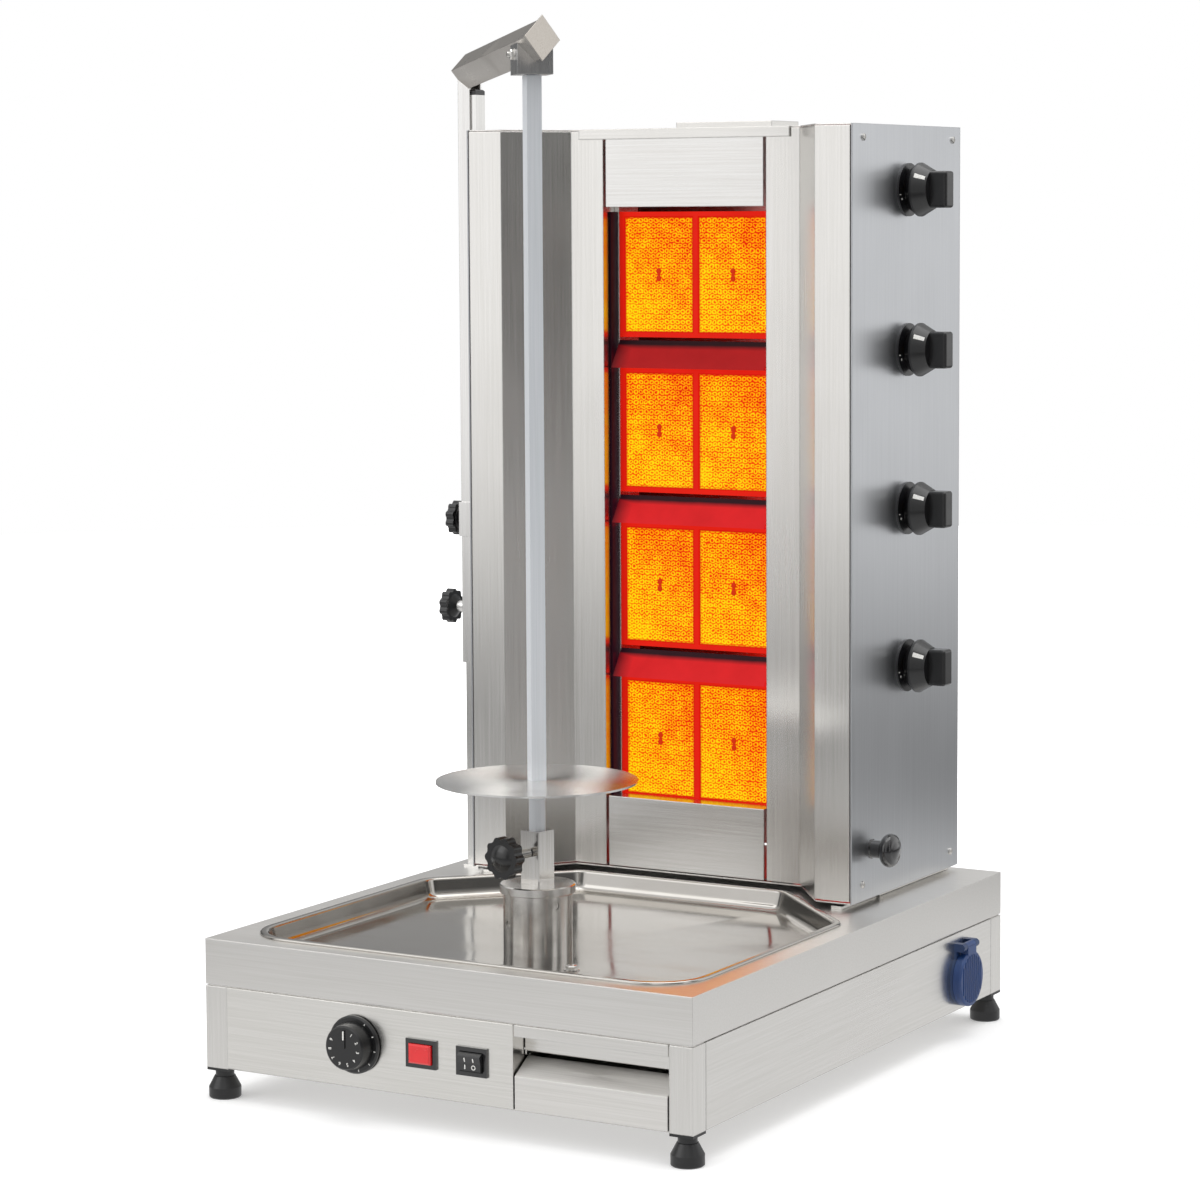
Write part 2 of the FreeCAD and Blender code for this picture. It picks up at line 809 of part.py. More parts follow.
def foot(sx, sy):
    """A bell-shaped foot with a threaded stud."""
    cone_bottom = foot_base_height
    cone_top = cone_bottom + foot_cone_height
    neck_top = cone_top + foot_neck_height
    stud_top = neck_top + foot_thread_length
    profile = [(0, 0), (foot_base_radius - foot_base_bevel, 0), (foot_base_radius, foot_base_bevel),
               (foot_base_radius, cone_bottom), (foot_neck_radius + seam, cone_top),
               (foot_neck_radius, cone_top),
               (foot_neck_radius, neck_top), (foot_thread_radius, neck_top),
               (foot_thread_radius, stud_top), (0, stud_top)]
    return revolved(profile, V(sx * post_centre_x, sy * post_centre_y, 0))


# Spit drive

def gearmotor():
    top = pan_floor_z - pan_wall
    half = gearbox_side / 2
    gearbox = box(-half, spit_y - half, top - gearbox_height, half, spit_y + half, top)
    motor_z = top - gearbox_height / 2
    motor = rod(motor_radius, V(0, spit_y + half, motor_z), V(0, spit_y + half + motor_length, motor_z))
    bore = rod(shaft_radius + run_clearance, centre_line, centre_line + V(0, 0, deck_top))
    return cut_all(fused([gearbox, motor]), [bore])


def column_screw_places():
    """Directions, heights of the screws let into the column's side."""
    heights = [pan_floor_z + column_height / 2, column_top - column_screw_height / 2]
    return list(zip(column_screw_azimuths, heights))


def motor_column():
    base = centre_line + V(0, 0, pan_floor_z)
    body = rod(column_radius, base, base + V(0, 0, column_height))
    bore = rod(shaft_radius + run_clearance, base, base + V(0, 0, column_height))
    pockets = []
    screws = []
    for azimuth, z in column_screw_places():
        out = V(math.cos(math.radians(azimuth)), math.sin(math.radians(azimuth)), 0)
        seat = centre_line + V(0, 0, z)
        deep = seat + out * (column_radius - column_screw_recess)
        flush = seat + out * (column_radius - seam)
        pockets.append(rod(column_screw_radius + 2 * touch, deep, seat + out * (column_radius + seam)))
        socket = rod(column_screw_radius / 2, deep + out, flush)
        screw = rod(column_screw_radius, deep, flush)
        screws.append(screw.cut(socket))
    return group([cut_all(body, [bore] + pockets)] + screws)


def column_cap():
    """A flat turned cap with the drive shaft in one piece under it."""
    z0 = cap_bottom - shaft_length
    profile = [(0, z0), (shaft_radius, z0), (shaft_radius, cap_bottom), (cap_radius - 2 * touch, cap_bottom),
               (cap_radius, cap_bottom + 2 * touch), (cap_radius, cap_top - seam),
               (cap_radius - seam, cap_top), (0, cap_top)]
    return revolved(profile, centre_line)


def clamp_block():
    half = block_side / 2
    body = box(-half, spit_y - half, cap_top, half, spit_y + half, block_top)
    upright = [e for e in body.Edges if e.BoundBox.ZLength > block_height / 2]
    body = body.makeChamfer(1.0, upright)
    bore = rod(block_pin_radius + run_clearance, centre_line + V(0, 0, block_top - block_pin_depth),
               centre_line + V(0, 0, block_top))
    middle = V(0, spit_y, clamp_knob_z)
    thread = rod(star_stem_radius + run_clearance, middle, middle - V(0, block_side, 0))
    return turned(cut_all(body, [bore, thread]), block_turn)


def skewer():
    """A square bar with a round foot in the clamp block and a round pin at the top."""
    square_z0 = plate_top_z - plate_thickness - hub_height - collar_height
    half = skewer_side / 2
    bar = turned(box(-half, spit_y - half, square_z0, half, spit_y + half, skewer_top_z), skewer_turn)
    foot_end = block_top - block_pin_depth + touch
    foot_pin = rod(block_pin_radius, centre_line + V(0, 0, foot_end), centre_line + V(0, 0, square_z0))
    pin_top = skewer_top_z + skewer_pin_length
    pin = rod(skewer_pin_radius, centre_line + V(0, 0, skewer_top_z), centre_line + V(0, 0, pin_top))
    return fused([bar, foot_pin, pin])


def meat_plate():
    """A flat disc on a stepped hub, with a square hole for the skewer."""
    plate_z = plate_top_z - plate_thickness
    hub_z = plate_z - hub_height
    collar_z = hub_z - collar_height
    profile = [(0, collar_z), (collar_radius, collar_z), (collar_radius, hub_z), (hub_radius, hub_z),
               (hub_radius, plate_z), (plate_radius, plate_z), (plate_radius, plate_top_z), (0, plate_top_z)]
    half = skewer_side / 2 + run_clearance
    hole = turned(box(-half, spit_y - half, collar_z, half, spit_y + half, plate_top_z), skewer_turn)
    return cut_all(revolved(profile, centre_line), [hole])


def spit_clamp_knob():
    face = spit_y - block_side / 2
    stem = spit_stem_bare + block_side / 2 - block_pin_radius - touch
    centre = V(0, face - spit_stem_bare - star_hub_length, clamp_knob_z)
    knob = star_knob(star_radius, star_thickness, star_dome, star_hub_length, stem, to_front, centre)
    return turned(knob, block_turn)


# Mast

def guide_post():
    """A square tube on a foot plate, bolted to the deck beside the tower."""
    h = guide_side / 2
    w = h - guide_wall
    f = guide_foot / 2
    outer = box(post_x - h, post_y - h, deck_top, post_x + h, post_y + h, guide_top_z)
    inner = box(post_x - w, post_y - w, deck_top, post_x + w, post_y + w, guide_top_z)
    foot_top = deck_top + guide_foot_thickness
    plate = box(post_x - h, post_y - f, deck_top, post_x + h, post_y + f, foot_top)
    return cut_all(fused([outer, plate]), [inner])


def post_plug():
    h = guide_side / 2
    w = h - guide_wall - run_clearance
    head = box(post_x - h, post_y - h, guide_top_z, post_x + h, post_y + h, guide_top_z + plug_height)
    top_edges = [e for e in head.Edges if e.BoundBox.ZMin > guide_top_z + plug_height - touch]
    head = head.makeChamfer(1.5, top_edges)
    leg = box(post_x - w, post_y - w, guide_top_z - guide_side, post_x + w, post_y + w, guide_top_z)
    return fused([head, leg])


def arm_point(distance, across=0.0, up=0.0):
    """A place in the arm's own axes, counted from the spit's axis towards its free end."""
    azimuth = math.radians(arm_azimuth)
    rise = math.radians(arm_rise)
    along = V(math.cos(rise) * math.cos(azimuth), math.cos(rise) * math.sin(azimuth), math.sin(rise))
    side = V(-math.sin(azimuth), math.cos(azimuth), 0)
    upward = side.cross(along) * -1
    return V(0, spit_y, arm_axis_z) + along * distance + side * across + upward * up


def arm_bar(side):
    """A square bar on edge along the arm, longer than the arm at both ends."""
    reach = side / math.sqrt(2)
    start = -2 * base_width
    corners = [arm_point(start, reach), arm_point(start, 0, reach),
               arm_point(start, -reach), arm_point(start, 0, -reach)]
    return face_of(corners).extrude(arm_point(2 * base_width) - arm_point(start))


def arm_slice(side, x0, x1):
    keep = box(x0, -base_depth, deck_top, x1, base_depth, 2 * arm_axis_z)
    return arm_bar(side).common(keep)


def arm_tube():
    """The arm, cut parallel to the tower's sides, with a plate on each end."""
    outer = arm_slice(arm_side, channel_x0, arm_overhang_x)
    inner = arm_slice(arm_side - 2 * arm_wall, channel_x0 + arm_wall, arm_overhang_x - arm_wall)
    cap = arm_slice(arm_cap_side, arm_overhang_x, arm_overhang_x + arm_cap_thickness)
    along = arm_point(1) - arm_point(0)
    end = arm_point(channel_x0 / along.x)
    drain = rod(arm_vent_radius, end - V(arm_wall, 0, 0), end + V(2 * arm_wall, 0, 0))
    return cut_all(fused([outer, cap]), [inner, drain])


def mast_channel():
    """A folded channel that runs on three sides of the post, with a collar round the upper knob."""
    plan = [(channel_x1, channel_y1), (channel_x0, channel_y1),
            (channel_x0, channel_y0), (channel_x1, channel_y0)]
    along = arm_point(1) - arm_point(0)
    top = arm_point(channel_x0 / along.x).z
    channel = prism(band(plan[::-1], -channel_wall), channel_bottom_z, top)
    w = channel_wall
    z0 = upper_knob_z - collar_length / 2
    z1 = upper_knob_z + collar_length / 2
    ring = box(collar_x0, channel_y0 - w, z0, collar_x1, channel_y1 + w, z1)
    inside = box(channel_x0, channel_y0, z0, collar_x1 - w, channel_y1, z1)
    boss_end = V(channel_x0 - lower_boss_length, post_y, lower_knob_z)
    boss = rod(lower_boss_radius, boss_end, V(channel_x0, post_y, lower_knob_z))
    holes = []
    bore = star_stem_radius + run_clearance
    for z in (upper_knob_z, lower_knob_z):
        start = V(channel_x0 - lower_boss_length, post_y, z)
        holes.append(rod(bore, start, V(channel_x0 + channel_wall, post_y, z)))
    return cut_all(fused([channel, ring.cut(inside), boss]), holes + [arm_bar(arm_side)])


def bearing_bracket():
    """A small box of folded plate under the arm, with the skewer's top bearing in its floor."""
    t = bracket_thickness
    low = bracket_plate_z
    y0 = spit_y - bracket_half_width
    y1 = spit_y + bracket_half_width
    end = bracket_half_length
    plate = box(-end, y0, low, end, y1, low + t)
    near = box(-end, y0, low + t, end, y0 + t, arm_axis_z)
    far = box(-end, y1 - t, low + t, end, y1, arm_axis_z)
    front = box(end - t, y0 + t, low + t, end, y1 - t, arm_axis_z)
    shape = turned(fused([plate, near, far, front]), arm_azimuth)
    bore = rod(skewer_pin_radius + run_clearance, centre_line, centre_line + V(0, 0, arm_axis_z))
    return cut_all(shape, [arm_bar(arm_side), bore])


def mast_knob(z, outer_x):
    stem = channel_x0 - outer_x + channel_wall + channel_clearance - run_clearance
    centre = V(outer_x - touch - mast_star_hub_length, post_y, z)
    return star_knob(mast_star_radius, mast_star_thickness, mast_star_dome, mast_star_hub_length,
                     stem, to_left, centre)


# Burner tower

def tower_outline(inset):
    """The tower's plan outline, from the right rear corner round by the front to the left."""
    out = tower_half_width - inset
    right = [(out, tower_back_y - inset), (out, tower_front_y + inset),
             (wing_outer_inner_x, tower_front_y + inset), (wing_inner_outer_x, wing_inner_y + inset)]
    left = [(-x, y) for x, y in reversed(right)]
    return right + left


def tower_side(side):
    x0 = tower_half_width - sheet
    y0 = tower_front_y
    skin = box(x0, y0, tower_bottom_z, tower_half_width, tower_back_y, tower_top_z)
    if side < 0:
        return mirrored(skin)
    holes = []
    for z in knob_heights:
        holes.append(rod(disc_bore_radius, V(x0, knob_y, z), V(tower_half_width, knob_y, z)))
    return cut_all(skin, holes)


def wing(side):
    """One folded sheet: return by the skin, outer face, splayed face, inner face, return."""
    out = skin_x - seam
    y = tower_front_y
    line = [(out, y + wing_return), (out, y), (wing_outer_inner_x, y), (wing_inner_outer_x, wing_inner_y),
            (wing_inner_inner_x, wing_inner_y), (wing_inner_inner_x, wing_inner_y + wing_return)]
    sheet_band = prism(band(line, -sheet), wing_bottom, tower_top_z - sheet - touch)
    if side < 0:
        return mirrored(sheet_band)
    return sheet_band


def tower_back():
    inner = skin_x - touch
    z1 = tower_top_z - sheet - touch
    back = tower_back_y
    panel = box(-inner, back - sheet, wing_bottom, inner, back, z1)
    left = box(-inner, back - angle_leg, wing_bottom, -inner + sheet, back, z1)
    right = box(inner - sheet, back - angle_leg, wing_bottom, inner, back, z1)
    hole = rod(inlet_hex * 0.6 + seam, V(manifold_x, back - angle_leg, inlet_z), V(manifold_x, back, inlet_z))
    return cut_all(fused([panel, left, right]), [hole])


def tower_base():
    """The carriage floor, a channel-shaped shoe over each rail and two upright burner racks."""
    plan = tower_outline(sheet + touch)
    floor = prism(plan, tower_bottom_z, tower_bottom_z + sheet)
    shoes = []
    half = rail_width / 2 + rail_clearance
    rail_top = deck_top + rail_height
    for sx in (-1, 1):
        x = sx * rail_x
        y0 = shoe_front_y
        y1 = tower_back_y - 2 * sheet
        wide = half + shoe_wall
        outer = box(x - wide, y0, deck_top + rail_clearance, x + wide, y1, tower_bottom_z)
        room = box(x - half, y0, deck_top, x + half, y1, rail_top + rail_clearance)
        shoes.append(outer.cut(room))
    x0 = burner_half + touch
    z0 = tower_bottom_z + sheet
    z1 = tower_top_z - sheet - touch
    front = box(x0, rack_y, z0, x0 + rack_width, rack_y + sheet, z1)
    side = box(x0, rack_y, z0, x0 + sheet, rack_y + rack_depth, z1)
    rack = front.fuse(side)
    return fused([floor, rack, mirrored(rack)] + shoes)


def tower_rails():
    rails = []
    for sx in (-1, 1):
        x = sx * rail_x
        y0 = tower_front_y + sheet
        y1 = tower_back_y
        rails.append(box(x - rail_width / 2, y0, deck_top, x + rail_width / 2, y1, deck_top + rail_height))
    return group(rails)


def top_cover():
    """The lid of the tower, with a lip over the burner window and a raised flue frame."""
    z0 = tower_top_z - sheet
    lid = prism(tower_outline(sheet + touch), z0, tower_top_z)
    lip_y = wing_inner_y - cover_lip_gap
    half = cover_lip_half_width
    shelf = box(-half, lip_y - sheet, z0, half, wing_inner_y + 2 * sheet, tower_top_z)
    lip = box(-half, lip_y - sheet, tower_top_z - cover_lip_height, half, lip_y, tower_top_z)
    x0 = vent_centre_x - vent_half_length
    x1 = vent_centre_x + vent_half_length
    collar = box(x0, vent_front_y, tower_top_z, x1, vent_back_y, tower_top_z + vent_rise)
    mouth = box(x0 + sheet, vent_front_y + sheet, z0,
                x1 - sheet, vent_back_y - sheet, tower_top_z + vent_rise)
    return cut_all(fused([lid, shelf, lip, collar]), [mouth])


def centre_plates():
    """The plain plates above and below the burner window, each with a return at the window."""
    y0 = wing_inner_y
    y1 = y0 + sheet
    top = tower_top_z - sheet - touch
    top_low = tower_top_z - cover_lip_height - centre_top_height
    bottom_high = wing_bottom + centre_bottom_height
    deep = rack_y - touch
    upper = [box(-centre_half, y0, top_low, centre_half, y1, top),
             box(-centre_half, y0, top_low, centre_half, deep, top_low + sheet)]
    lower = [box(-centre_half, y0, wing_bottom, centre_half, y1, bottom_high),
             box(-centre_half, y0, bottom_high - sheet, centre_half, deep, bottom_high),
             box(-centre_half, y0, wing_bottom, centre_half, deep, wing_bottom + sheet)]
    return group([fused(upper), fused(lower)])


def burner_body(top):
    """A hollow burner box, open at the two tile seats, with a mixing tube out of its back."""
    low = top - burner_height - burner_frame
    high = top + burner_frame
    body = box(-burner_half, tile_y, low, burner_half, tile_y + burner_depth, high)
    seats = []
    for sx in (-1, 1):
        x = sx * (tile_half + burner_divider / 2)
        seats.append(box(x - tile_half, tile_y, top - burner_height,
                         x + tile_half, tile_y + burner_depth - sheet, top))
    middle = top - burner_height / 2
    start = V(burner_half_width - mixing_tube_length, pipe_y, middle)
    pipe = rod(mixing_tube_radius, start, V(valve_x0, pipe_y, middle))
    throat = box(start.x, tile_y + burner_depth - sheet, middle - mixing_tube_radius,
                 start.x + 3 * mixing_tube_radius, pipe_y, middle + mixing_tube_radius)
    return fused([body.cut(Part.makeCompound(seats)), pipe, throat])


def burner_bodies():
    return group([burner_body(top) for top in burner_tops])


def ceramic_tiles():
    tiles = []
    for top in burner_tops:
        for sx in (-1, 1):
            x = sx * (tile_half + burner_divider / 2)
            h = tile_half - tile_clearance
            low = top - burner_height + tile_clearance
            tiles.append(box(x - h, tile_y + seam, low, x + h, tile_y + tile_thickness, top - tile_clearance))
    return group(tiles)


def burner_reflectors():
    """Sloping shelves between the burners and an upright strip on each side of the window."""
    parts = []
    half = burner_half
    back = tile_y - touch
    for i, top in enumerate(burner_tops[:-1]):
        high = top - burner_height - burner_frame - shelf_rise
        low = burner_tops[i + 1] + burner_frame + seam
        line = [(back, low), (back - shelf_front, low + seam), (back, high)]
        parts.append(side_prism(band(line, shelf_thickness), -half, half))
    y1 = rack_y - touch
    low = burner_tops[-1] - burner_height - burner_frame
    high = burner_tops[0] + burner_frame
    for sx in (-1, 1):
        x = sx * (centre_half + sheet)
        parts.append(box(x - sheet / 2, y1 - reflector_depth, low, x + sheet / 2, y1, high))
    return group(parts)


def gas_manifold():
    """An upright square pipe with the threaded inlet that comes out of the tower's back."""
    half = manifold_side / 2
    top = knob_heights[0] + 2 * manifold_side
    pipe = box(manifold_x - half, manifold_y - half, inlet_z - manifold_side,
               manifold_x + half, manifold_y + half, top)
    end_y = tower_back_y + inlet_length
    inlet = rod(inlet_radius, V(manifold_x, manifold_y, inlet_z), V(manifold_x, end_y, inlet_z))
    hex_points = []
    hex_y = tower_back_y - inlet_hex_length / 2
    corner = inlet_hex / math.sqrt(3)
    for i in range(6):
        angle = 2 * math.pi * i / 6
        hex_points.append(V(manifold_x + corner * math.cos(angle), hex_y, inlet_z + corner * math.sin(angle)))
    nut = face_of(hex_points).extrude(V(0, inlet_hex_length, 0))
    bore_start = V(manifold_x, manifold_y + half + sheet, inlet_z)
    bore = rod(inlet_bore_radius, bore_start, V(manifold_x, end_y, inlet_z))
    return cut_all(fused([pipe, inlet, nut]), [bore])


def gas_valves():
    """Four taps on the manifold, each with a bore for its stem and a pipe down to its burner."""
    valves = []
    x1 = skin_x - touch
    x0 = valve_x0
    for z, top in zip(knob_heights, burner_tops):
        h = valve_half_side
        middle = top - burner_height / 2
        body_end = x1 - valve_nose
        body = box(x0, knob_y - h, z - h, body_end, knob_y + h, z + h)
        nose = rod(disc_bore_radius - seam, V(body_end, knob_y, z), V(tower_half_width, knob_y, z))
        pipe_front = manifold_y - manifold_side / 2
        link = box(manifold_x - h / 4, knob_y + h, z - h / 2, manifold_x + h / 3, pipe_front, z + h / 2)
        corner = V(feed_x, pipe_y, middle)
        drop = rod(feed_radius, V(feed_x, pipe_y, z - h), corner)
        turn = rod(feed_radius, corner, V(x0 + touch, pipe_y, middle))
        parts = [body, nose, link, drop, turn, Part.makeSphere(feed_radius, corner)]
        deep = V(x1 - stem_in_valve - knob_push - seam, knob_y, z)
        bore = rod(stem_radius + run_clearance, deep, V(tower_half_width + seam, knob_y, z))
        valves.append(cut_all(fused(parts), [bore]))
    return group(valves)


def scale_discs():
    """Thin plain discs behind the knobs."""
    discs = []
    x0 = tower_half_width
    for z in knob_heights:
        axis = V(x0, knob_y, z)
        disc = tube(disc_radius, disc_bore_radius, axis, axis + V(disc_thickness, 0, 0))
        discs.append(disc)
    return group(discs)


def valve_stem(z):
    x0 = skin_x - touch - stem_in_valve
    return rod(stem_radius, V(x0, knob_y, z), V(knob_base_x + stem_in_knob, knob_y, z))


def gas_knob(z):
    """A skirted knob: flared foot, rim, cone and a straight grip bar across it."""
    rim_end = knob_flare_height + knob_skirt_height
    cone_end = rim_end + knob_cone_height
    top = cone_end + knob_grip_length
    profile = [(0, 0), (knob_foot_radius, 0), (knob_skirt_radius, knob_flare_height),
               (knob_skirt_radius, rim_end), (knob_neck_radius, cone_end), (0, cone_end)]
    cone = revolved(profile, V(0, 0, 0))
    half_width = knob_grip_width / 2
    half_height = knob_grip_height / 2
    grip = box(-half_height, -half_width, cone_end - seam, half_height, half_width, top)
    ends = []
    for e in grip.Edges:
        if e.BoundBox.ZMin > top - touch or e.BoundBox.ZLength > knob_grip_length / 2:
            ends.append(e)
    grip = grip.makeFillet(knob_grip_round, ends)
    hole = Part.makeCylinder(stem_radius + run_clearance, stem_in_knob + touch)
    knob = cut_all(fused([cone, grip]), [hole])
    knob.rotate(V(0, 0, 0), to_right[0], to_right[1])
    knob.translate(V(knob_base_x, knob_y, z))
    return knob


def pull_handle():
    """A turned stem with a ball that is cut off flat at its back."""
    stem_end = handle_stem_length
    ball = Part.makeSphere(handle_ball_radius, V(0, 0, stem_end + handle_ball_set))
    keep = Part.makeCylinder(handle_ball_radius, 2 * handle_ball_radius, V(0, 0, stem_end))
    foot_radius = handle_stem_radius + handle_foot_step
    profile = [(0, 0), (foot_radius, 0), (foot_radius, handle_foot_step),
               (handle_stem_radius, 2 * handle_foot_step), (handle_stem_radius, stem_end), (0, stem_end)]
    handle = fused([revolved(profile, V(0, 0, 0)), ball.common(keep)])
    handle.rotate(V(0, 0, 0), to_right[0], to_right[1])
    handle.translate(V(tower_half_width, handle_y, handle_z))
    return handle


def tower_screws():
    """Pan-headed screws at the corners of both side skins."""
    screws = []
    low = tower_bottom_z + screw_inset * 0.7
    high = tower_top_z - screw_inset * 0.55
    for y in (tower_front_y + screw_inset, tower_back_y - screw_inset * 0.8):
        for z in (low, high):
            axis = V(tower_half_width, y, z)
            crown = screw_head_radius * 0.6
            screws.append(Part.makeCone(screw_head_radius, crown, screw_head_height, axis, V(1, 0, 0)))
    return group(screws + [mirrored(s) for s in screws])


def build():
    nodes = {
        "base_frame": base_frame(),
        "top_deck": top_deck(),
        "drip_pan": drip_pan(),
        "side_panel_left": side_panel(-1),
        "side_panel_right": side_panel(1),
        "chassis_pan": chassis_pan(),
        "control_panel": control_panel(),
        "switch_housings": switch_housings(),
        "red_button": red_button(),
        "rocker_cap": rocker_cap(),
        "speed_dial": speed_dial(),
        "drawer_housing": drawer_housing(),
        "drawer_front": drawer_front(),
        "drawer_box": drawer_box(),
        "socket_housing": socket_housing(),
        "socket_lid": socket_lid(),
        "foot_inserts": foot_inserts(),
        "foot_front_left": foot(-1, -1),
        "foot_front_right": foot(1, -1),
        "foot_rear_left": foot(-1, 1),
        "foot_rear_right": foot(1, 1),
        "gearmotor": gearmotor(),
        "motor_column": motor_column(),
        "column_cap": column_cap(),
        "clamp_block": clamp_block(),
        "skewer": skewer(),
        "meat_plate": meat_plate(),
        "spit_clamp_knob": spit_clamp_knob(),
        "guide_post": guide_post(),
        "post_plug": post_plug(),
        "mast_channel": mast_channel(),
        "arm_tube": arm_tube(),
        "bearing_bracket": bearing_bracket(),
        "mast_knob_upper": mast_knob(upper_knob_z, collar_x0),
        "mast_knob_lower": mast_knob(lower_knob_z, channel_x0 - lower_boss_length),
        "tower_rails": tower_rails(),
        "tower_base": tower_base(),
        "tower_side_left": tower_side(-1),
        "tower_side_right": tower_side(1),
        "wing_left": wing(-1),
        "wing_right": wing(1),
        "tower_back": tower_back(),
        "top_cover": top_cover(),
        "centre_plates": centre_plates(),
        "burner_bodies": burner_bodies(),
        "ceramic_tiles": ceramic_tiles(),
        "burner_reflectors": burner_reflectors(),
        "gas_manifold": gas_manifold(),
        "gas_valves": gas_valves(),
        "scale_discs": scale_discs(),
        "pull_handle": pull_handle(),
        "tower_screws": tower_screws(),
    }
    for i, z in enumerate(knob_heights):
        nodes["valve_stem_%d" % (i + 1)] = valve_stem(z)
        nodes["gas_knob_%d" % (i + 1)] = gas_knob(z)
    return nodes


os.makedirs("parts", exist_ok=True)
for name, shape in build().items():
    shape.exportStep("parts/%s.step" % name)
    volume = shape.Volume / 1000
    print("%-18s %2d solid(s) %9.1f cm3 valid %s" % (name, len(shape.Solids), volume, shape.isValid()))
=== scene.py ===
"""Render scene of a gas doner kebab grill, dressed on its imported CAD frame.

The CAD nodes keep their shapes and get procedural finishes. Small pieces that the solids leave out, such
as dial numbers, cross recesses and the studs in the plaques, are surfaces worked out here with numpy.
Lengths are written in millimetres and turned into metres where a point goes into a mesh.
"""

from __future__ import annotations

import json
import logging
import math
from dataclasses import dataclass
from enum import Enum
from functools import lru_cache
from typing import ClassVar, Sequence

import bpy
import numpy as np
from bpy.types import ID, Material, Node, NodeSocket, NodeTree, Object, World
from mathutils import Matrix, Vector

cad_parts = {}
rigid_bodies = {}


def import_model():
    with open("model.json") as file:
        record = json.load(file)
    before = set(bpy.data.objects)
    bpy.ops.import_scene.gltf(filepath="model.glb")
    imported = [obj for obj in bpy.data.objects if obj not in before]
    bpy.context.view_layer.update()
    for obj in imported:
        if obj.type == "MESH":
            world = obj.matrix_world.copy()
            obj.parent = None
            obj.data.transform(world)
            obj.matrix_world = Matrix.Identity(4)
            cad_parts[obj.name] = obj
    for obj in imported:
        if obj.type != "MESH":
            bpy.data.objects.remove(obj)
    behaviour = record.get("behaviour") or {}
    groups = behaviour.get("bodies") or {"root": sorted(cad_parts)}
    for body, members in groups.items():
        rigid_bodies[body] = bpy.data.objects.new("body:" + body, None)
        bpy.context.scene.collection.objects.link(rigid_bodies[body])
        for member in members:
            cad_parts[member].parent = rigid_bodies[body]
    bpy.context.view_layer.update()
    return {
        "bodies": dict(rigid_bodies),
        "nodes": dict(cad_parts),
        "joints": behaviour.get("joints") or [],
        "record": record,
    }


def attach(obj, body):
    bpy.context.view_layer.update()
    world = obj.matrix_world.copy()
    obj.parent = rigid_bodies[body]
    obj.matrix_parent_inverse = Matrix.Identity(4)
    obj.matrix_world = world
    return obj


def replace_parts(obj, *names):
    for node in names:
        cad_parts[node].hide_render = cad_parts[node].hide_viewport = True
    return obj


LOG = logging.getLogger("grill_scene")

METRES = 0.001
SHARP_ANGLE = math.radians(32.0)
ROUND_STEPS = 48
SPIT_AXIS = (0.0, -0.160)
BURNER_TOP = 839.0
BURNER_PITCH = 160.6
INK = ((1.0, -0.1), (1.0, 0.08), (0.85, 0.12))

Colour = tuple[float, float, float, float]
Point = tuple[float, float, float]
Pair = tuple[float, float]


class Grain(Enum):
    """The way a sheet was brushed, as noise cells per metre along X, Y and Z.

    A belt leaves lines about 0.2 mm apart. They are drawn 1.6 mm apart, because a pixel is over 1 mm.
    """

    ACROSS = (7.0, 620.0, 620.0)
    DEEP = (620.0, 7.0, 620.0)
    UPRIGHT = (620.0, 620.0, 7.0)


def linear(code: str) -> Colour:
    """Turns a hex colour into linear RGBA.

    Args:
        code: Six hex digits, such as "c8c7c3".

    Returns:
        Linear red, green and blue, and an alpha of one.
    """
    parts = [int(code[i:i + 2], 16) / 255 for i in (0, 2, 4)]
    red, green, blue = [p / 12.92 if p <= 0.04045 else ((p + 0.055) / 1.055) ** 2.4 for p in parts]
    return (red, green, blue, 1.0)


def wire(tree: NodeTree, node: Node, links: dict) -> None:
    """Links a node's inputs, each by name or number, to an output socket or to a node's first output."""
    for key, source in links.items():
        tree.links.new(source.outputs[0] if isinstance(source, Node) else source, node.inputs[key])


def add_node(tree: NodeTree, kind: str, settings: dict | None = None, links: dict | None = None) -> Node:
    """Adds one shader node with its settings and links.

    Args:
        tree: The node tree.
        kind: The node's type, without the prefix that all shader nodes share, and after a full stop its
            operation, where it has one.
        settings: Values by property name, or by an input's name or number.
        links: What feeds its inputs, as in wire.

    Returns:
        The new node.
    """
    kind, _, operation = kind.partition(".")
    node = tree.nodes.new("ShaderNode" + kind)
    if operation:
        node.operation = operation
    for key, value in (settings or {}).items():
        if isinstance(key, str) and hasattr(node, key):
            setattr(node, key, value)
        else:
            node.inputs[key].default_value = value
    wire(tree, node, links or {})
    return node


def bare_tree(owner: Material | World) -> NodeTree:
    """Turns on a material's or a world's nodes, and empties its tree.

    Args:
        owner: The material or the world.

    Returns:
        Its node tree.
    """
    owner.use_nodes = True
    owner.node_tree.nodes.clear()
    return owner.node_tree


def add_object(name: str, data: ID) -> Object:
    """Adds an object to the scene, at the origin, unturned and unscaled.

    Args:
        name: The object's name.
        data: Its mesh, curve, light or camera.

    Returns:
        The new object.
    """
    thing = bpy.data.objects.new(name, data)
    bpy.context.scene.collection.objects.link(thing)
    return thing


def set_stops(ramp: Node, stops: Sequence[tuple[float, Colour]]) -> None:
    """Fills a colour ramp.

    Args:
        ramp: The colour ramp node.
        stops: Place and linear colour pairs, from left to right.
    """
    elements = ramp.color_ramp.elements
    while len(elements) < len(stops):
        elements.new(0.5)
    for element, (place, colour) in zip(elements, stops):
        element.position = place
        element.color = colour


def greys(levels: Sequence[Pair]) -> list[tuple[float, Colour]]:
    """Turns place and brightness pairs into stops of a colour ramp."""
    return [(place, (level, level, level, 1.0)) for place, level in levels]


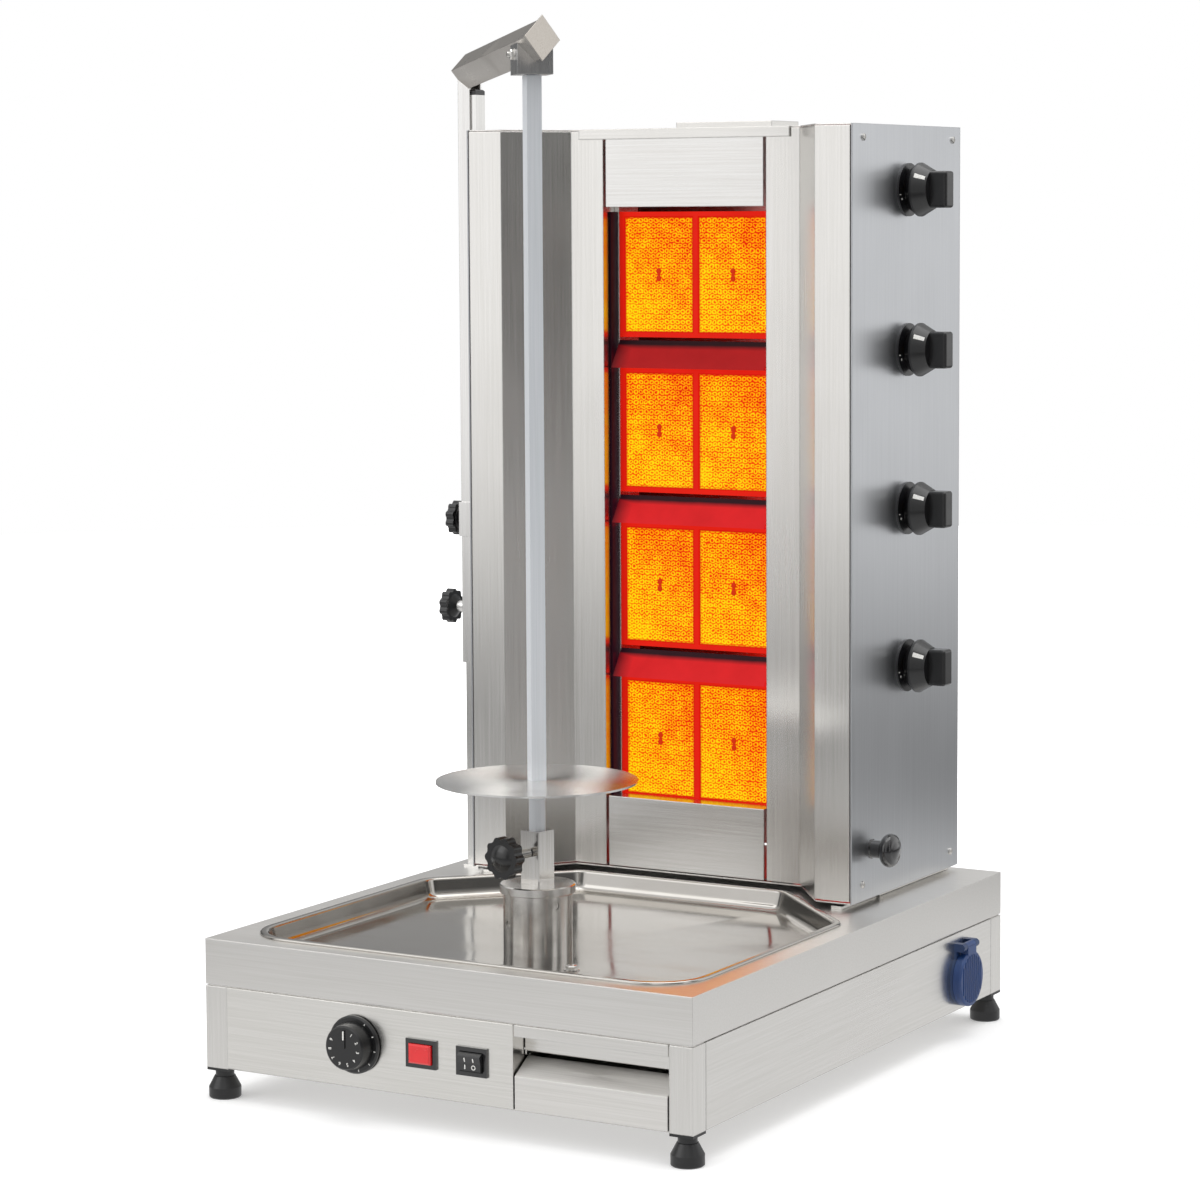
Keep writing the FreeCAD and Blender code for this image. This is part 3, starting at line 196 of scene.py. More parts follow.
@dataclass
class Coat:
    """A material's nodes: its tree, its Principled shader and its object coordinates."""

    tree: NodeTree
    shader: Node
    place: NodeSocket

    def feed(self, links: dict) -> None:
        """Links the shader's inputs, as wire does."""
        wire(self.tree, self.shader, links)

    def two_tone(self, noise: Node, span: tuple[float, float, float], colours: tuple[str, str]) -> None:
        """Mixes two colours into the base colour where a noise says so.

        Args:
            noise: The noise texture.
            span: The noise's values where the mix starts and ends, and the second colour's greatest share.
            colours: The two colours.
        """
        share = add_node(self.tree, "MapRange", {"From Min": span[0], "From Max": span[1], "To Max": span[2]},
                         {"Value": noise})
        tint = add_node(self.tree, "Mix", {"data_type": "RGBA", 6: linear(colours[0]), 7: linear(colours[1])},
                        {0: share})
        self.feed({"Base Color": tint.outputs[2]})


@dataclass(frozen=True)
class Finish:
    """What every finish has: a name, and a Principled shader that its own class dresses."""

    name: str

    def make(self) -> Material:
        """Makes the material.

        Returns:
            The new material.
        """
        material = bpy.data.materials.new(self.name)
        tree = bare_tree(material)
        shader = add_node(tree, "BsdfPrincipled")
        add_node(tree, "OutputMaterial", links={"Surface": shader})
        self.dress(Coat(tree, shader, add_node(tree, "TexCoord").outputs["Object"]))
        return material

    def dress(self, coat: Coat) -> None:
        """Adds the finish's own nodes to the material's."""
        raise NotImplementedError


@dataclass(frozen=True)
class BrushedStainless(Finish):
    """304 stainless sheet brushed with a belt.

    The eye gets fine straight lines of low contrast, a sheen that is wider across them, faint clouds of
    handling, and a bright line where each fold turns.
    """

    grain: Grain
    colour: str = "e4e2df"
    line: str = "dddbd7"
    rough: float = 0.22
    cloud: float = 0.05
    fold: float = 0.0

    def dress(self, coat: Coat) -> None:
        """Brush lines in colour, roughness and height, with clouds of about 150 mm in the roughness.

        Args:
            coat: The material's nodes.
        """
        tree, place = coat.tree, coat.place
        along = add_node(tree, "Mapping", {"Scale": self.grain.value}, {"Vector": place})
        lines = add_node(tree, "TexNoise", {"Scale": 1.0, "Detail": 3.0, "Roughness": 0.65}, {"Vector": along})
        clouds = add_node(tree, "TexNoise", {"Scale": 6.5, "Detail": 2.0, "Roughness": 0.5}, {"Vector": place})
        coat.two_tone(lines, (0.34, 0.66, 1.0), (self.line, self.colour))
        streak = add_node(tree, "MapRange", {"From Min": 0.3, "From Max": 0.7, "To Min": self.rough - 0.01,
                                             "To Max": self.rough + 0.015}, {"Value": lines})
        haze = add_node(tree, "MapRange", {"From Min": 0.35, "From Max": 0.68, "To Min": 0.0,
                                           "To Max": self.cloud}, {"Value": clouds})
        rough = add_node(tree, "Math.ADD", links={0: streak, 1: haze})
        bump = add_node(tree, "Bump", {"Strength": 0.02, "Distance": 0.0002}, {"Height": lines})
        coat.feed({"Roughness": rough, "Normal": bump})
        coat.shader.inputs["Metallic"].default_value = 1.0
        coat.shader.inputs["Anisotropic"].default_value = 0.3
        if self.fold > 0:
            edge = add_node(tree, "Bevel", {"samples": 4, "Radius": self.fold * METRES})
            wire(tree, bump, {"Normal": edge})


@dataclass(frozen=True)
class DrawnStainless(Finish):
    """304 stainless sheet, deep drawn and left bright: a soft mirror with a slow ripple and wiped smears."""

    colour: str
    stain: str
    rough: float
    ripple: float = 0.0005

    def dress(self, coat: Coat) -> None:
        """Smears about 100 mm long in colour and roughness, and ripples about 90 mm apart in height.

        Args:
            coat: The material's nodes.
        """
        tree, place = coat.tree, coat.place
        wiped = add_node(tree, "Mapping", {"Scale": (1.0, 2.4, 1.0)}, {"Vector": place})
        smear = add_node(tree, "TexNoise", {"Scale": 10.0, "Detail": 4.0, "Roughness": 0.6}, {"Vector": wiped})
        swell = add_node(tree, "TexNoise", {"Scale": 11.0, "Detail": 1.0}, {"Vector": place})
        coat.two_tone(smear, (0.42, 0.8, 0.3), (self.colour, self.stain))
        rough = add_node(tree, "MapRange", {"From Min": 0.4, "From Max": 0.72, "To Min": self.rough,
                                            "To Max": self.rough + 0.08}, {"Value": smear})
        bump = add_node(tree, "Bump", {"Strength": 0.35, "Distance": self.ripple}, {"Height": swell})
        coat.feed({"Roughness": rough, "Normal": bump})
        coat.shader.inputs["Metallic"].default_value = 1.0


@dataclass(frozen=True)
class TurnedStainless(Finish):
    """304 bar turned on a lathe: fine rings round the spit's axis, reflections drawn out across them.

    The streak draws the sheen out across the rings, which gives a turned bar its upright bands and a
    brushed disc its fan of bright and dark wedges.
    """

    colour: str = "d9d7d4"
    stain: str = "8e8983"
    rough: float = 0.2
    streak: float = 0.9

    def dress(self, coat: Coat) -> None:
        """Tool lines are 0.1 mm apart, drawn 1.2 mm apart: noise on (distance from the axis, height).

        Args:
            coat: The material's nodes.
        """
        tree, place = coat.tree, coat.place
        centred = add_node(tree, "Mapping", {"Location": (-SPIT_AXIS[0], -SPIT_AXIS[1], 0.0)}, {"Vector": place})
        split = add_node(tree, "SeparateXYZ", links={"Vector": centred})
        flat = add_node(tree, "CombineXYZ", links={"X": split.outputs["X"], "Y": split.outputs["Y"]})
        radius = add_node(tree, "VectorMath.LENGTH", links={0: flat})
        turned = add_node(tree, "CombineXYZ", links={"X": radius.outputs["Value"], "Z": split.outputs["Z"]})
        rings = add_node(tree, "TexNoise", {"Scale": 830.0, "Detail": 2.0, "Roughness": 0.6}, {"Vector": turned})
        marks = add_node(tree, "TexNoise", {"Scale": 34.0, "Detail": 3.0, "Roughness": 0.6}, {"Vector": place})
        coat.two_tone(marks, (0.48, 0.8, 0.45), (self.colour, self.stain))
        rough = add_node(tree, "MapRange", {"From Min": 0.3, "From Max": 0.7, "To Min": self.rough - 0.008,
                                            "To Max": self.rough + 0.01}, {"Value": rings})
        tangent = add_node(tree, "Tangent", {"direction_type": "RADIAL", "axis": "Z"})
        bump = add_node(tree, "Bump", {"Strength": 0.004, "Distance": 0.0002}, {"Height": rings})
        coat.feed({"Roughness": rough, "Tangent": tangent, "Normal": bump})
        coat.shader.inputs["Metallic"].default_value = 1.0
        coat.shader.inputs["Anisotropic"].default_value = self.streak
        coat.shader.inputs["Anisotropic Rotation"].default_value = 0.25


@dataclass(frozen=True)
class PlatedMetal(Finish):
    """Small metal pieces, plated or bare: an even sheen with a faint mottle from handling."""

    colour: str
    rough: float

    def dress(self, coat: Coat) -> None:
        """A mottle about 4 mm across darkens the colour by a fifth and widens the sheen.

        Args:
            coat: The material's nodes.
        """
        tree, place = coat.tree, coat.place
        mottle = add_node(tree, "TexNoise", {"Scale": 240.0, "Detail": 3.0, "Roughness": 0.6}, {"Vector": place})
        bright = linear(self.colour)
        dull = tuple(part * 0.8 for part in bright[:3]) + (1.0,)
        tint = add_node(tree, "Mix", {"data_type": "RGBA", 6: bright, 7: dull}, {0: mottle})
        rough = add_node(tree, "MapRange", {"From Min": 0.3, "From Max": 0.7, "To Min": self.rough - 0.05,
                                            "To Max": self.rough + 0.07}, {"Value": mottle})
        coat.feed({"Base Color": tint.outputs[2], "Roughness": rough})
        coat.shader.inputs["Metallic"].default_value = 1.0


@dataclass(frozen=True)
class Moulding(Finish):
    """Moulded plastic: an even skin with a fine spark-eroded grain, and patches that fingers have rubbed."""

    colour: str
    rubbed: str
    rough: float
    coat: float
    pore: float = 0.00003

    def dress(self, coat: Coat) -> None:
        """Pores of 0.1 mm are drawn 0.5 mm across; rubbed patches are about 20 mm across.

        Args:
            coat: The material's nodes.
        """
        tree, place = coat.tree, coat.place
        pores = add_node(tree, "TexNoise", {"Scale": 2000.0, "Detail": 2.0}, {"Vector": place})
        rub = add_node(tree, "TexNoise", {"Scale": 50.0, "Detail": 3.0, "Roughness": 0.6}, {"Vector": place})
        coat.two_tone(rub, (0.5, 0.82, 0.5), (self.colour, self.rubbed))
        rough = add_node(tree, "MapRange", {"From Min": 0.3, "From Max": 0.7, "To Min": self.rough - 0.04,
                                            "To Max": self.rough + 0.07}, {"Value": rub})
        bump = add_node(tree, "Bump", {"Strength": 0.25, "Distance": self.pore}, {"Height": pores})
        coat.feed({"Roughness": rough, "Normal": bump})
        coat.shader.inputs["IOR"].default_value = 1.53
        coat.shader.inputs["Coat Weight"].default_value = self.coat
        coat.shader.inputs["Coat Roughness"].default_value = 0.1


@dataclass(frozen=True)
class Print(Finish):
    """Pad-printed ink: flat and opaque, a little thin in places."""

    colour: str = "f0efeb"
    thin: str = "cfcdc8"

    def dress(self, coat: Coat) -> None:
        """Thin places are about 1 mm across.

        Args:
            coat: The material's nodes.
        """
        tree, place = coat.tree, coat.place
        speck = add_node(tree, "TexNoise", {"Scale": 900.0, "Detail": 2.0}, {"Vector": place})
        coat.two_tone(speck, (0.5, 0.75, 1.0), (self.colour, self.thin))
        coat.shader.inputs["Roughness"].default_value = 0.5


def down_the_burner(tree: NodeTree, height: NodeSocket) -> Node:
    """How far down each burner a point lies, from 0 at its plaques' top edge to 1 at the next one's.

    Args:
        tree: The material's node tree.
        height: The point's height, in metres.

    Returns:
        The node that gives the share.
    """
    fall = add_node(tree, "Math.MULTIPLY_ADD", {1: -1.0 / (BURNER_PITCH * METRES),
                                   2: BURNER_TOP / BURNER_PITCH}, {0: height})
    return add_node(tree, "Math.FRACT", links={0: fall})


@dataclass(frozen=True)
class GlowingFireclay(Finish):
    """Pierced fireclay plaques, gas fired.

    The eye gets fine yellow rings in rows on orange-red, hotter low down and to the left of each plaque,
    redder at its top right, with a dull red rim where the casing cools it. The pits are 1.3 mm apart; they
    are drawn 6.2 mm apart, which is the grain that the photograph's own pixels leave of them.
    """

    pit_x: float = 6.2
    pit_z: float = 5.2
    ring: float = 0.34
    height: float = 120.0
    centre_x: float = 43.25
    half_width: float = 40.75

    def ring_pattern(self, tree: NodeTree, place: NodeSocket) -> Node:
        """A ring in each cell: 1 at the ring's radius from the cell's middle, falling to 0 on both sides.

        Every other row is shifted by half a cell, and a noise sways the cells by up to 2 mm.

        Args:
            tree: The material's node tree.
            place: The object coordinates.

        Returns:
            The node that gives the pattern.
        """
        sway = add_node(tree, "TexNoise", {"Scale": 190.0, "Detail": 1.0}, {"Vector": place})
        centred = add_node(tree, "VectorMath.SUBTRACT", {1: (0.5, 0.5, 0.5)}, {0: sway.outputs["Color"]})
        moved = add_node(tree, "VectorMath.MULTIPLY_ADD", {1: (0.0044, 0.0, 0.0036)}, {0: centred, 2: place})
        split = add_node(tree, "SeparateXYZ", links={"Vector": moved})
        row = add_node(tree, "Math.DIVIDE", {1: self.pit_z * METRES}, {0: split.outputs["Z"]})
        number = add_node(tree, "Math.FLOOR", links={0: row})
        odd = add_node(tree, "Math.FLOORED_MODULO", {1: 2.0}, {0: number})
        half = add_node(tree, "Math.MULTIPLY", {1: 0.5}, {0: odd})
        column = add_node(tree, "Math.MULTIPLY_ADD", {1: 1.0 / (self.pit_x * METRES)},
                          {0: split.outputs["X"], 2: half})
        across = add_node(tree, "Math.FRACT", links={0: column})
        down = add_node(tree, "Math.FRACT", links={0: row})
        cell = add_node(tree, "CombineXYZ", links={"X": across, "Y": down})
        reach = add_node(tree, "VectorMath.DISTANCE", {1: (0.5, 0.5, 0.0)}, {0: cell})
        off_ring = add_node(tree, "Math.SUBTRACT", {1: self.ring}, {0: reach.outputs["Value"]})
        from_ring = add_node(tree, "Math.ABSOLUTE", links={0: off_ring})
        return add_node(tree, "MapRange", {"From Min": 0.04, "From Max": 0.22, "To Min": 1.0, "To Max": 0.0},
                        {"Value": from_ring})

    def cool_rim(self, tree: NodeTree, offset: Node, low: Node) -> Node:
        """The outer 1 to 3 mm of each plaque.

        Args:
            tree: The material's node tree.
            offset: The distance from the plaque's middle line, in metres.
            low: The share of the plaque's height above the point.

        Returns:
            The node that gives 1 on the rim and 0 inside it.
        """
        side_rim = add_node(tree, "Math.ABSOLUTE", links={0: offset})
        side_cool = add_node(tree, "MapRange", {"From Min": (self.half_width - 3.0) * METRES,
                                                "From Max": (self.half_width - 1.2) * METRES}, {"Value": side_rim})
        end_rim = add_node(tree, "Math.SUBTRACT", {1: 0.5}, {0: low})
        end_size = add_node(tree, "Math.ABSOLUTE", links={0: end_rim})
        end_cool = add_node(tree, "MapRange", {"From Min": 0.5 - 2.6 / self.height,
                                               "From Max": 0.5 - 1.0 / self.height}, {"Value": end_size})
        return add_node(tree, "Math.MAXIMUM", links={0: side_cool, 1: end_cool})

    def dress(self, coat: Coat) -> None:
        """Heat = rings + slow noise + slope down and to the left, then a ramp from red to yellow.

        Args:
            coat: The material's nodes.
        """
        tree, place = coat.tree, coat.place
        rings = self.ring_pattern(tree, place)
        plaque = add_node(tree, "SeparateXYZ", links={"Vector": place})
        share = down_the_burner(tree, plaque.outputs["Z"])
        low = add_node(tree, "Math.MULTIPLY", {1: BURNER_PITCH / self.height}, {0: share})
        aside = add_node(tree, "Math.ABSOLUTE", links={0: plaque.outputs["X"]})
        offset = add_node(tree, "Math.SUBTRACT", {1: self.centre_x * METRES}, {0: aside})
        sign = add_node(tree, "Math.SIGN", links={0: plaque.outputs["X"]})
        right = add_node(tree, "Math.MULTIPLY", links={0: offset, 1: sign})
        slow = add_node(tree, "TexNoise", {"Scale": 60.0, "Detail": 3.0, "Roughness": 0.7}, {"Vector": place})
        heat = add_node(tree, "Math.MULTIPLY_ADD", {1: 0.62, 2: -0.26}, {0: rings})
        for source, weight in ((slow, 0.8), (low, 0.26), (right, -2.2)):
            heat = add_node(tree, "Math.MULTIPLY_ADD", {1: weight}, {0: source, 2: heat})
        ramp = add_node(tree, "ValToRGB", links={"Fac": heat})
        set_stops(ramp, ((0.0, linear("d81203")), (0.2, linear("f23003")), (0.42, linear("fc6802")),
                         (0.66, linear("ffa202")), (0.96, linear("ffdc0c"))))
        glow = add_node(tree, "Mix", {"data_type": "RGBA", 7: linear("d21609")},
                        {0: self.cool_rim(tree, offset, low), 6: ramp})
        bump = add_node(tree, "Bump", {"Strength": 0.5, "Distance": 0.0005}, {"Height": rings})
        coat.feed({"Emission Color": glow.outputs[2], "Normal": bump})
        coat.shader.inputs["Emission Strength"].default_value = 1.0
        coat.shader.inputs["Base Color"].default_value = linear("180902")
        coat.shader.inputs["Roughness"].default_value = 0.9
        coat.shader.inputs["Specular IOR Level"].default_value = 0.1


@dataclass(frozen=True)
class HeatedSheet(Finish):
    """Aluminised steel beside the plaques: its emission paints their red glow on it, with painted shade to its left
    end.
    """

    glow: str
    # Painted shade: the darker colour that the glow turns to towards the left end, and where that starts and ends
    # along X.
    cool: str
    cool_from: float = -70.0
    cool_to: float = -96.0
    # Painted shade: how far the glow dims high up, and where that starts and ends.
    dim_top: float = 1.0
    dim_from: float = 620.0
    dim_to: float = 660.0
    # Painted shade: the darkening at each shelf's top edge, and where it starts and ends down the burner.
    dark_lip: bool = False
    lip_from: float = 0.815
    lip_to: float = 0.85

    def dress(self, coat: Coat) -> None:
        """Painted glow that turns to painted shade along X to the left end, high up by dim_top, and at shelf top
        edges.

        Args:
            coat: The material's nodes.
        """
        tree, place = coat.tree, coat.place
        stain = add_node(tree, "TexNoise", {"Scale": 30.0, "Detail": 3.0, "Roughness": 0.6}, {"Vector": place})
        split = add_node(tree, "SeparateXYZ", links={"Vector": place})
        # Painted shade: the glow turns to the darker colour towards the left end, and on the shelves at each top edge.
        fade = add_node(tree, "MapRange", {"From Min": self.cool_from * METRES, "From Max": self.cool_to * METRES},
                        {"Value": split.outputs["X"]})
        share = down_the_burner(tree, split.outputs["Z"])
        lip = add_node(tree, "MapRange", {"From Min": self.lip_from, "From Max": self.lip_to,
                                          "To Min": 1.0 if self.dark_lip else 0.0, "To Max": 0.0}, {"Value": share})
        darker = add_node(tree, "Math.MAXIMUM", links={0: fade, 1: lip})
        mottled = add_node(tree, "Math.MULTIPLY_ADD", {1: 0.3, "use_clamp": True}, {0: stain, 2: darker})
        tint = add_node(tree, "Mix", {"data_type": "RGBA", 6: linear(self.glow), 7: linear(self.cool)}, {0: mottled})
        # Painted shade: the glow dims high up.
        high = add_node(tree, "MapRange", {"From Min": self.dim_from * METRES, "From Max": self.dim_to * METRES,
                                           "To Min": 1.0, "To Max": self.dim_top}, {"Value": split.outputs["Z"]})
        rough = add_node(tree, "MapRange", {"From Min": 0.3, "From Max": 0.7, "To Min": 0.32, "To Max": 0.5},
                         {"Value": stain})
        # The emission is painted light, the plaques' red glow laid on the sheet; the sheet does not glow by itself.
        coat.feed({"Emission Color": tint.outputs[2], "Emission Strength": high, "Roughness": rough})
        coat.shader.inputs["Base Color"].default_value = linear("1c0808")
        coat.shader.inputs["Metallic"].default_value = 0.8


@lru_cache(maxsize=None)
def material_of(finish: Finish) -> Material:
    """Makes a finish's material once, and gives the same one after that."""
    return finish.make()


SHEET_UPRIGHT = BrushedStainless("304 stainless sheet, brushed upright", Grain.UPRIGHT, fold=1.6)
SHEET_ACROSS = BrushedStainless("304 stainless sheet, brushed across", Grain.ACROSS, fold=1.6)
SHEET_DEEP = BrushedStainless("304 stainless sheet, brushed front to back", Grain.DEEP, fold=1.6)
PRINT_WHITE = Print("white pad print")
BLACK_PHENOLIC = Moulding("black phenolic, moulded", "08080a", "1a1a1c", rough=0.34, coat=0.3)
BLACK_GLOSS = Moulding("black ABS, gloss moulded", "070709", "161619", rough=0.16, coat=0.8, pore=0.00001)
BRIGHT_SCREW = PlatedMetal("A2 stainless screw, bright", "dcdad6", 0.18)


@dataclass(frozen=True)
class Seat:
    """A place on the object: an origin in millimetres, the way out of the surface and the way up."""

    origin: Point
    out: Point
    up: Point = (0.0, 0.0, 1.0)

    def put(self, local: np.ndarray) -> np.ndarray:
        """Moves points to the seat: p = origin + across·x + up·y + out·z.

        Args:
            local: Points in millimetres, with z out of the surface.

        Returns:
            The points in metres, in the object's frame.
        """
        out = np.asarray(self.out, float)
        out = out / np.linalg.norm(out)
        rise = np.asarray(self.up, float)
        rise = rise - out * float(rise @ out)
        rise = rise / np.linalg.norm(rise)
        across = np.cross(rise, out)
        return (np.asarray(self.origin, float) + local @ np.stack([across, rise, out])) * METRES


class Skin:
    """Gathers closed surfaces, each worked out as whole arrays, into one mesh."""

    def __init__(self) -> None:
        """Starts with no points."""
        self.points: list[np.ndarray] = []
        self.faces: list[list[int]] = []
        self.count = 0

    def add(self, points: np.ndarray, faces: Sequence[Sequence[int]]) -> None:
        """Adds points in metres and the faces that index them.

        Args:
            points: An array of (n, 3).
            faces: Faces that count from this array's first point.
        """
        self.points.append(np.asarray(points, float))
        self.faces += [[int(corner) + self.count for corner in face] for face in faces]
        self.count += len(points)

    @staticmethod
    def bands(count: int, around: int) -> list[list[int]]:
        """The squares between rings that follow one another, ending with those from the last to the first.

        Point (k, i) is joined to (k, i+1), (k+1, i+1) and (k+1, i), with i counted round the ring.

        Args:
            count: How many rings there are.
            around: How many points each has.

        Returns:
            The squares, ring after ring.
        """
        here = np.arange(around)
        after = (here + 1) % around
        start = (np.arange(count) * around)[:, None]
        ahead = np.roll(start, -1, 0)
        return np.stack([start + here, start + after, ahead + after, ahead + here], -1).reshape(-1, 4).tolist()

    def tube(self, rings: np.ndarray) -> None:
        """Joins rings that follow one another, and closes both ends with fans.

        Each ring runs anticlockwise about the way the rings progress, so the faces point outwards.

        Args:
            rings: An array of (rings, points, 3), in metres.
        """
        count, around, _ = rings.shape
        here = np.arange(around)
        after = (here + 1) % around
        last = (count - 1) * around
        first_pole = count * around
        low = np.stack([after, here, np.full(around, first_pole)], -1)
        high = np.stack([here + last, after + last, np.full(around, first_pole + 1)], -1)
        points = np.concatenate([rings.reshape(-1, 3), rings[:1].mean(1), rings[-1:].mean(1)])
        self.add(points, self.bands(count, around)[:last] + low.tolist() + high.tolist())

    def loop(self, rings: np.ndarray) -> None:
        """Joins rings that close on themselves, as in tube: the last one is joined to the first."""
        self.add(rings.reshape(-1, 3), self.bands(*rings.shape[:2]))

    def place(self, name: str, body: str, slot: str, finish: Finish) -> Object:
        """Makes the mesh an object that rides on its body.

        Args:
            name: The piece's name.
            body: The body that it moves with.
            slot: The record's material slot; not used.
            finish: Its finish.

        Returns:
            The new object, with its place in its mesh.
        """
        mesh = bpy.data.meshes.new(name)
        mesh.from_pydata(np.concatenate(self.points).tolist(), [], self.faces)
        mesh.materials.append(material_of(finish))
        mesh.shade_smooth()
        mesh.set_sharp_from_angle(angle=SHARP_ANGLE)
        piece = add_object(name, mesh)
        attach(piece, body)
        LOG.info("piece %s on %s: %d points", name, body, self.count)
        return piece


def circle(steps: int = ROUND_STEPS) -> np.ndarray:
    """A unit circle: (cos a, sin a) for steps equal angles."""
    angle = np.arange(steps) * 2 * math.pi / steps
    return np.stack([np.cos(angle), np.sin(angle)], -1)


def hexagon(steps: int = ROUND_STEPS) -> np.ndarray:
    """A hexagon whose flats are one from the middle: radius = 1 / cos(angle from the nearest flat's middle).

    Args:
        steps: How many points it has.

    Returns:
        An array of (steps, 2).
    """
    angle = np.arange(steps) * 2 * math.pi / steps
    off = np.mod(angle + math.pi / 6, math.pi / 3) - math.pi / 6
    return circle(steps) / np.cos(off)[:, None]


def rounded(width: float, height: float, corner: float, steps: int = 8) -> np.ndarray:
    """A rectangle with round corners: four quarter circles, one about each inner corner, anticlockwise.

    Args:
        width: Its width in millimetres.
        height: Its height in millimetres.
        corner: The corner radius in millimetres.
        steps: Points on each corner.

    Returns:
        An array of (points, 2).
    """
    quarter = np.linspace(0, math.pi / 2, steps)
    turns = (np.arange(4) * math.pi / 2)[:, None] + quarter[None, :]
    middle = np.array([[1, 1], [-1, 1], [-1, -1], [1, -1]]) * [width / 2 - corner, height / 2 - corner]
    return (middle[:, None, :] + corner * np.stack([np.cos(turns), np.sin(turns)], -1)).reshape(-1, 2)


def rounded_polygon(corners: np.ndarray, radii: np.ndarray, steps: int = 9) -> np.ndarray:
    """A convex polygon with an arc at each corner.

    At a corner P with directions u and v to its neighbours and half angle h between them, the arc's centre
    is P + r / sin(h) along their bisector, and it runs from P + u·r/tan(h) to P + v·r/tan(h).

    Args:
        corners: The corners anticlockwise, as (corners, 2).
        radii: Each corner's radius.
        steps: Points on each arc.

    Returns:
        An array of (corners·steps, 2).
    """
    back = np.roll(corners, 1, 0) - corners
    ahead = np.roll(corners, -1, 0) - corners
    back = back / np.linalg.norm(back, axis=1)[:, None]
    ahead = ahead / np.linalg.norm(ahead, axis=1)[:, None]
    half = np.arccos(np.clip((back * ahead).sum(1), -1, 1)) / 2
    middle = back + ahead
    middle = middle / np.linalg.norm(middle, axis=1)[:, None]
    centre = corners + middle * (radii / np.sin(half))[:, None]
    swing = math.pi / 2 - half
    facing = np.arctan2(-middle[:, 1], -middle[:, 0])
    turn = facing[:, None] + swing[:, None] * np.linspace(-1, 1, steps)[None, :]
    arc = centre[:, None, :] + radii[:, None, None] * np.stack([np.cos(turn), np.sin(turn)], -1)
    return arc.reshape(-1, 2)


def raised(flat: np.ndarray, level: np.ndarray) -> np.ndarray:
    """Gives flat rings of (rings, points, 2) their heights, one for each ring or each point."""
    return np.concatenate([flat, np.broadcast_to(level, flat.shape[:2])[..., None]], -1)


def polar(radius: float, degrees: float) -> Point:
    """The flat point at a radius and an angle: (r·cos a, r·sin a, 0)."""
    return radius * math.cos(math.radians(degrees)), radius * math.sin(math.radians(degrees)), 0.0


def lofted(outline: np.ndarray, profile: Sequence[Pair]) -> np.ndarray:
    """Carries an outline along scale and height pairs, from the back out: point = (scale·outline, height)."""
    scale, height = np.asarray(profile, float).T
    return raised(scale[:, None, None] * outline[None, :, :], height[:, None])


def padded(width: float, height: float, corner: float, back: float, front: float, edge: float) -> np.ndarray:
    """A block with round corners and a rounded front edge.

    The front edge is a quarter circle: inset = edge·(1 − cos t), height = front − edge·(1 − sin t).

    Args:
        width: Its width in millimetres.
        height: Its height in millimetres.
        corner: Its corner radius, over edge.
        back: The back's height out of the seat.
        front: The front's height out of the seat.
        edge: The front edge's radius.

    Returns:
        Rings of (rings, points, 3), in millimetres.
    """
    turn = np.linspace(0, math.pi / 2, 5)
    insets = np.concatenate([[0.0], edge * (1 - np.cos(turn))])
    levels = np.concatenate([[back], front - edge * (1 - np.sin(turn))])
    flat = np.stack([rounded(width - 2 * i, height - 2 * i, max(corner - i, 0.05)) for i in insets])
    return raised(flat, levels[:, None])


def cross_head(radius: float, height: float, arm: float, slot: float, depth: float) -> np.ndarray:
    """A pan head with a cross recess.

    The dome is h(r) = height·sqrt(1 − 0.72·(r/R)²). Where the smaller of |x| and |y| is under half the
    slot and r is under the arm, it sinks by depth, less the further out.

    Args:
        radius: The head's radius in millimetres.
        height: The head's height.
        arm: The reach of the cross.
        slot: The width of the cross.
        depth: How deep the cross is in the middle.

    Returns:
        Rings of (rings, points, 3) in millimetres, from the back to the middle of the dome.
    """
    steps = 64
    reach = np.concatenate([[1.0, 1.0, 0.97, 0.9, 0.8, 0.7, 0.62], np.linspace(0.56, 0.04, 12)]) * radius
    flat = reach[:, None, None] * circle(steps)[None, :, :]
    dome = height * np.sqrt(1 - 0.72 * (reach / radius) ** 2)
    narrow = np.minimum(np.abs(flat[..., 0]), np.abs(flat[..., 1]))
    inside = (narrow < slot / 2) & (reach[:, None] < arm)
    level = dome[:, None] - np.where(inside, depth * (1 - 0.5 * reach[:, None] / arm), 0.0)
    level[0] = 0.0
    return raised(flat, level)


def threaded(radius: float, ridge: float, pitch: float, length: float) -> np.ndarray:
    """A screw thread: r(s, a) = radius + ridge·(1 + cos(2π·s/pitch − a))/2, tapered at both ends.

    It gets six rings to a turn, each of 24 points.

    Args:
        radius: The root radius in millimetres.
        ridge: The thread's height.
        pitch: The distance between turns.
        length: The thread's length along z.

    Returns:
        Rings of (rings, points, 3), in millimetres.
    """
    per_turn, around = 6, 24
    along = np.linspace(0, length, int(length / pitch * per_turn) + 1)
    angle = np.arange(around) * 2 * math.pi / around
    wave = (1 + np.cos(2 * math.pi * along[:, None] / pitch - angle[None, :])) / 2
    ends = np.clip(np.minimum(along, length - along) / pitch, 0, 1)[:, None]
    size = radius + ridge * wave * ends
    return raised(size[..., None] * circle(around), along[:, None])


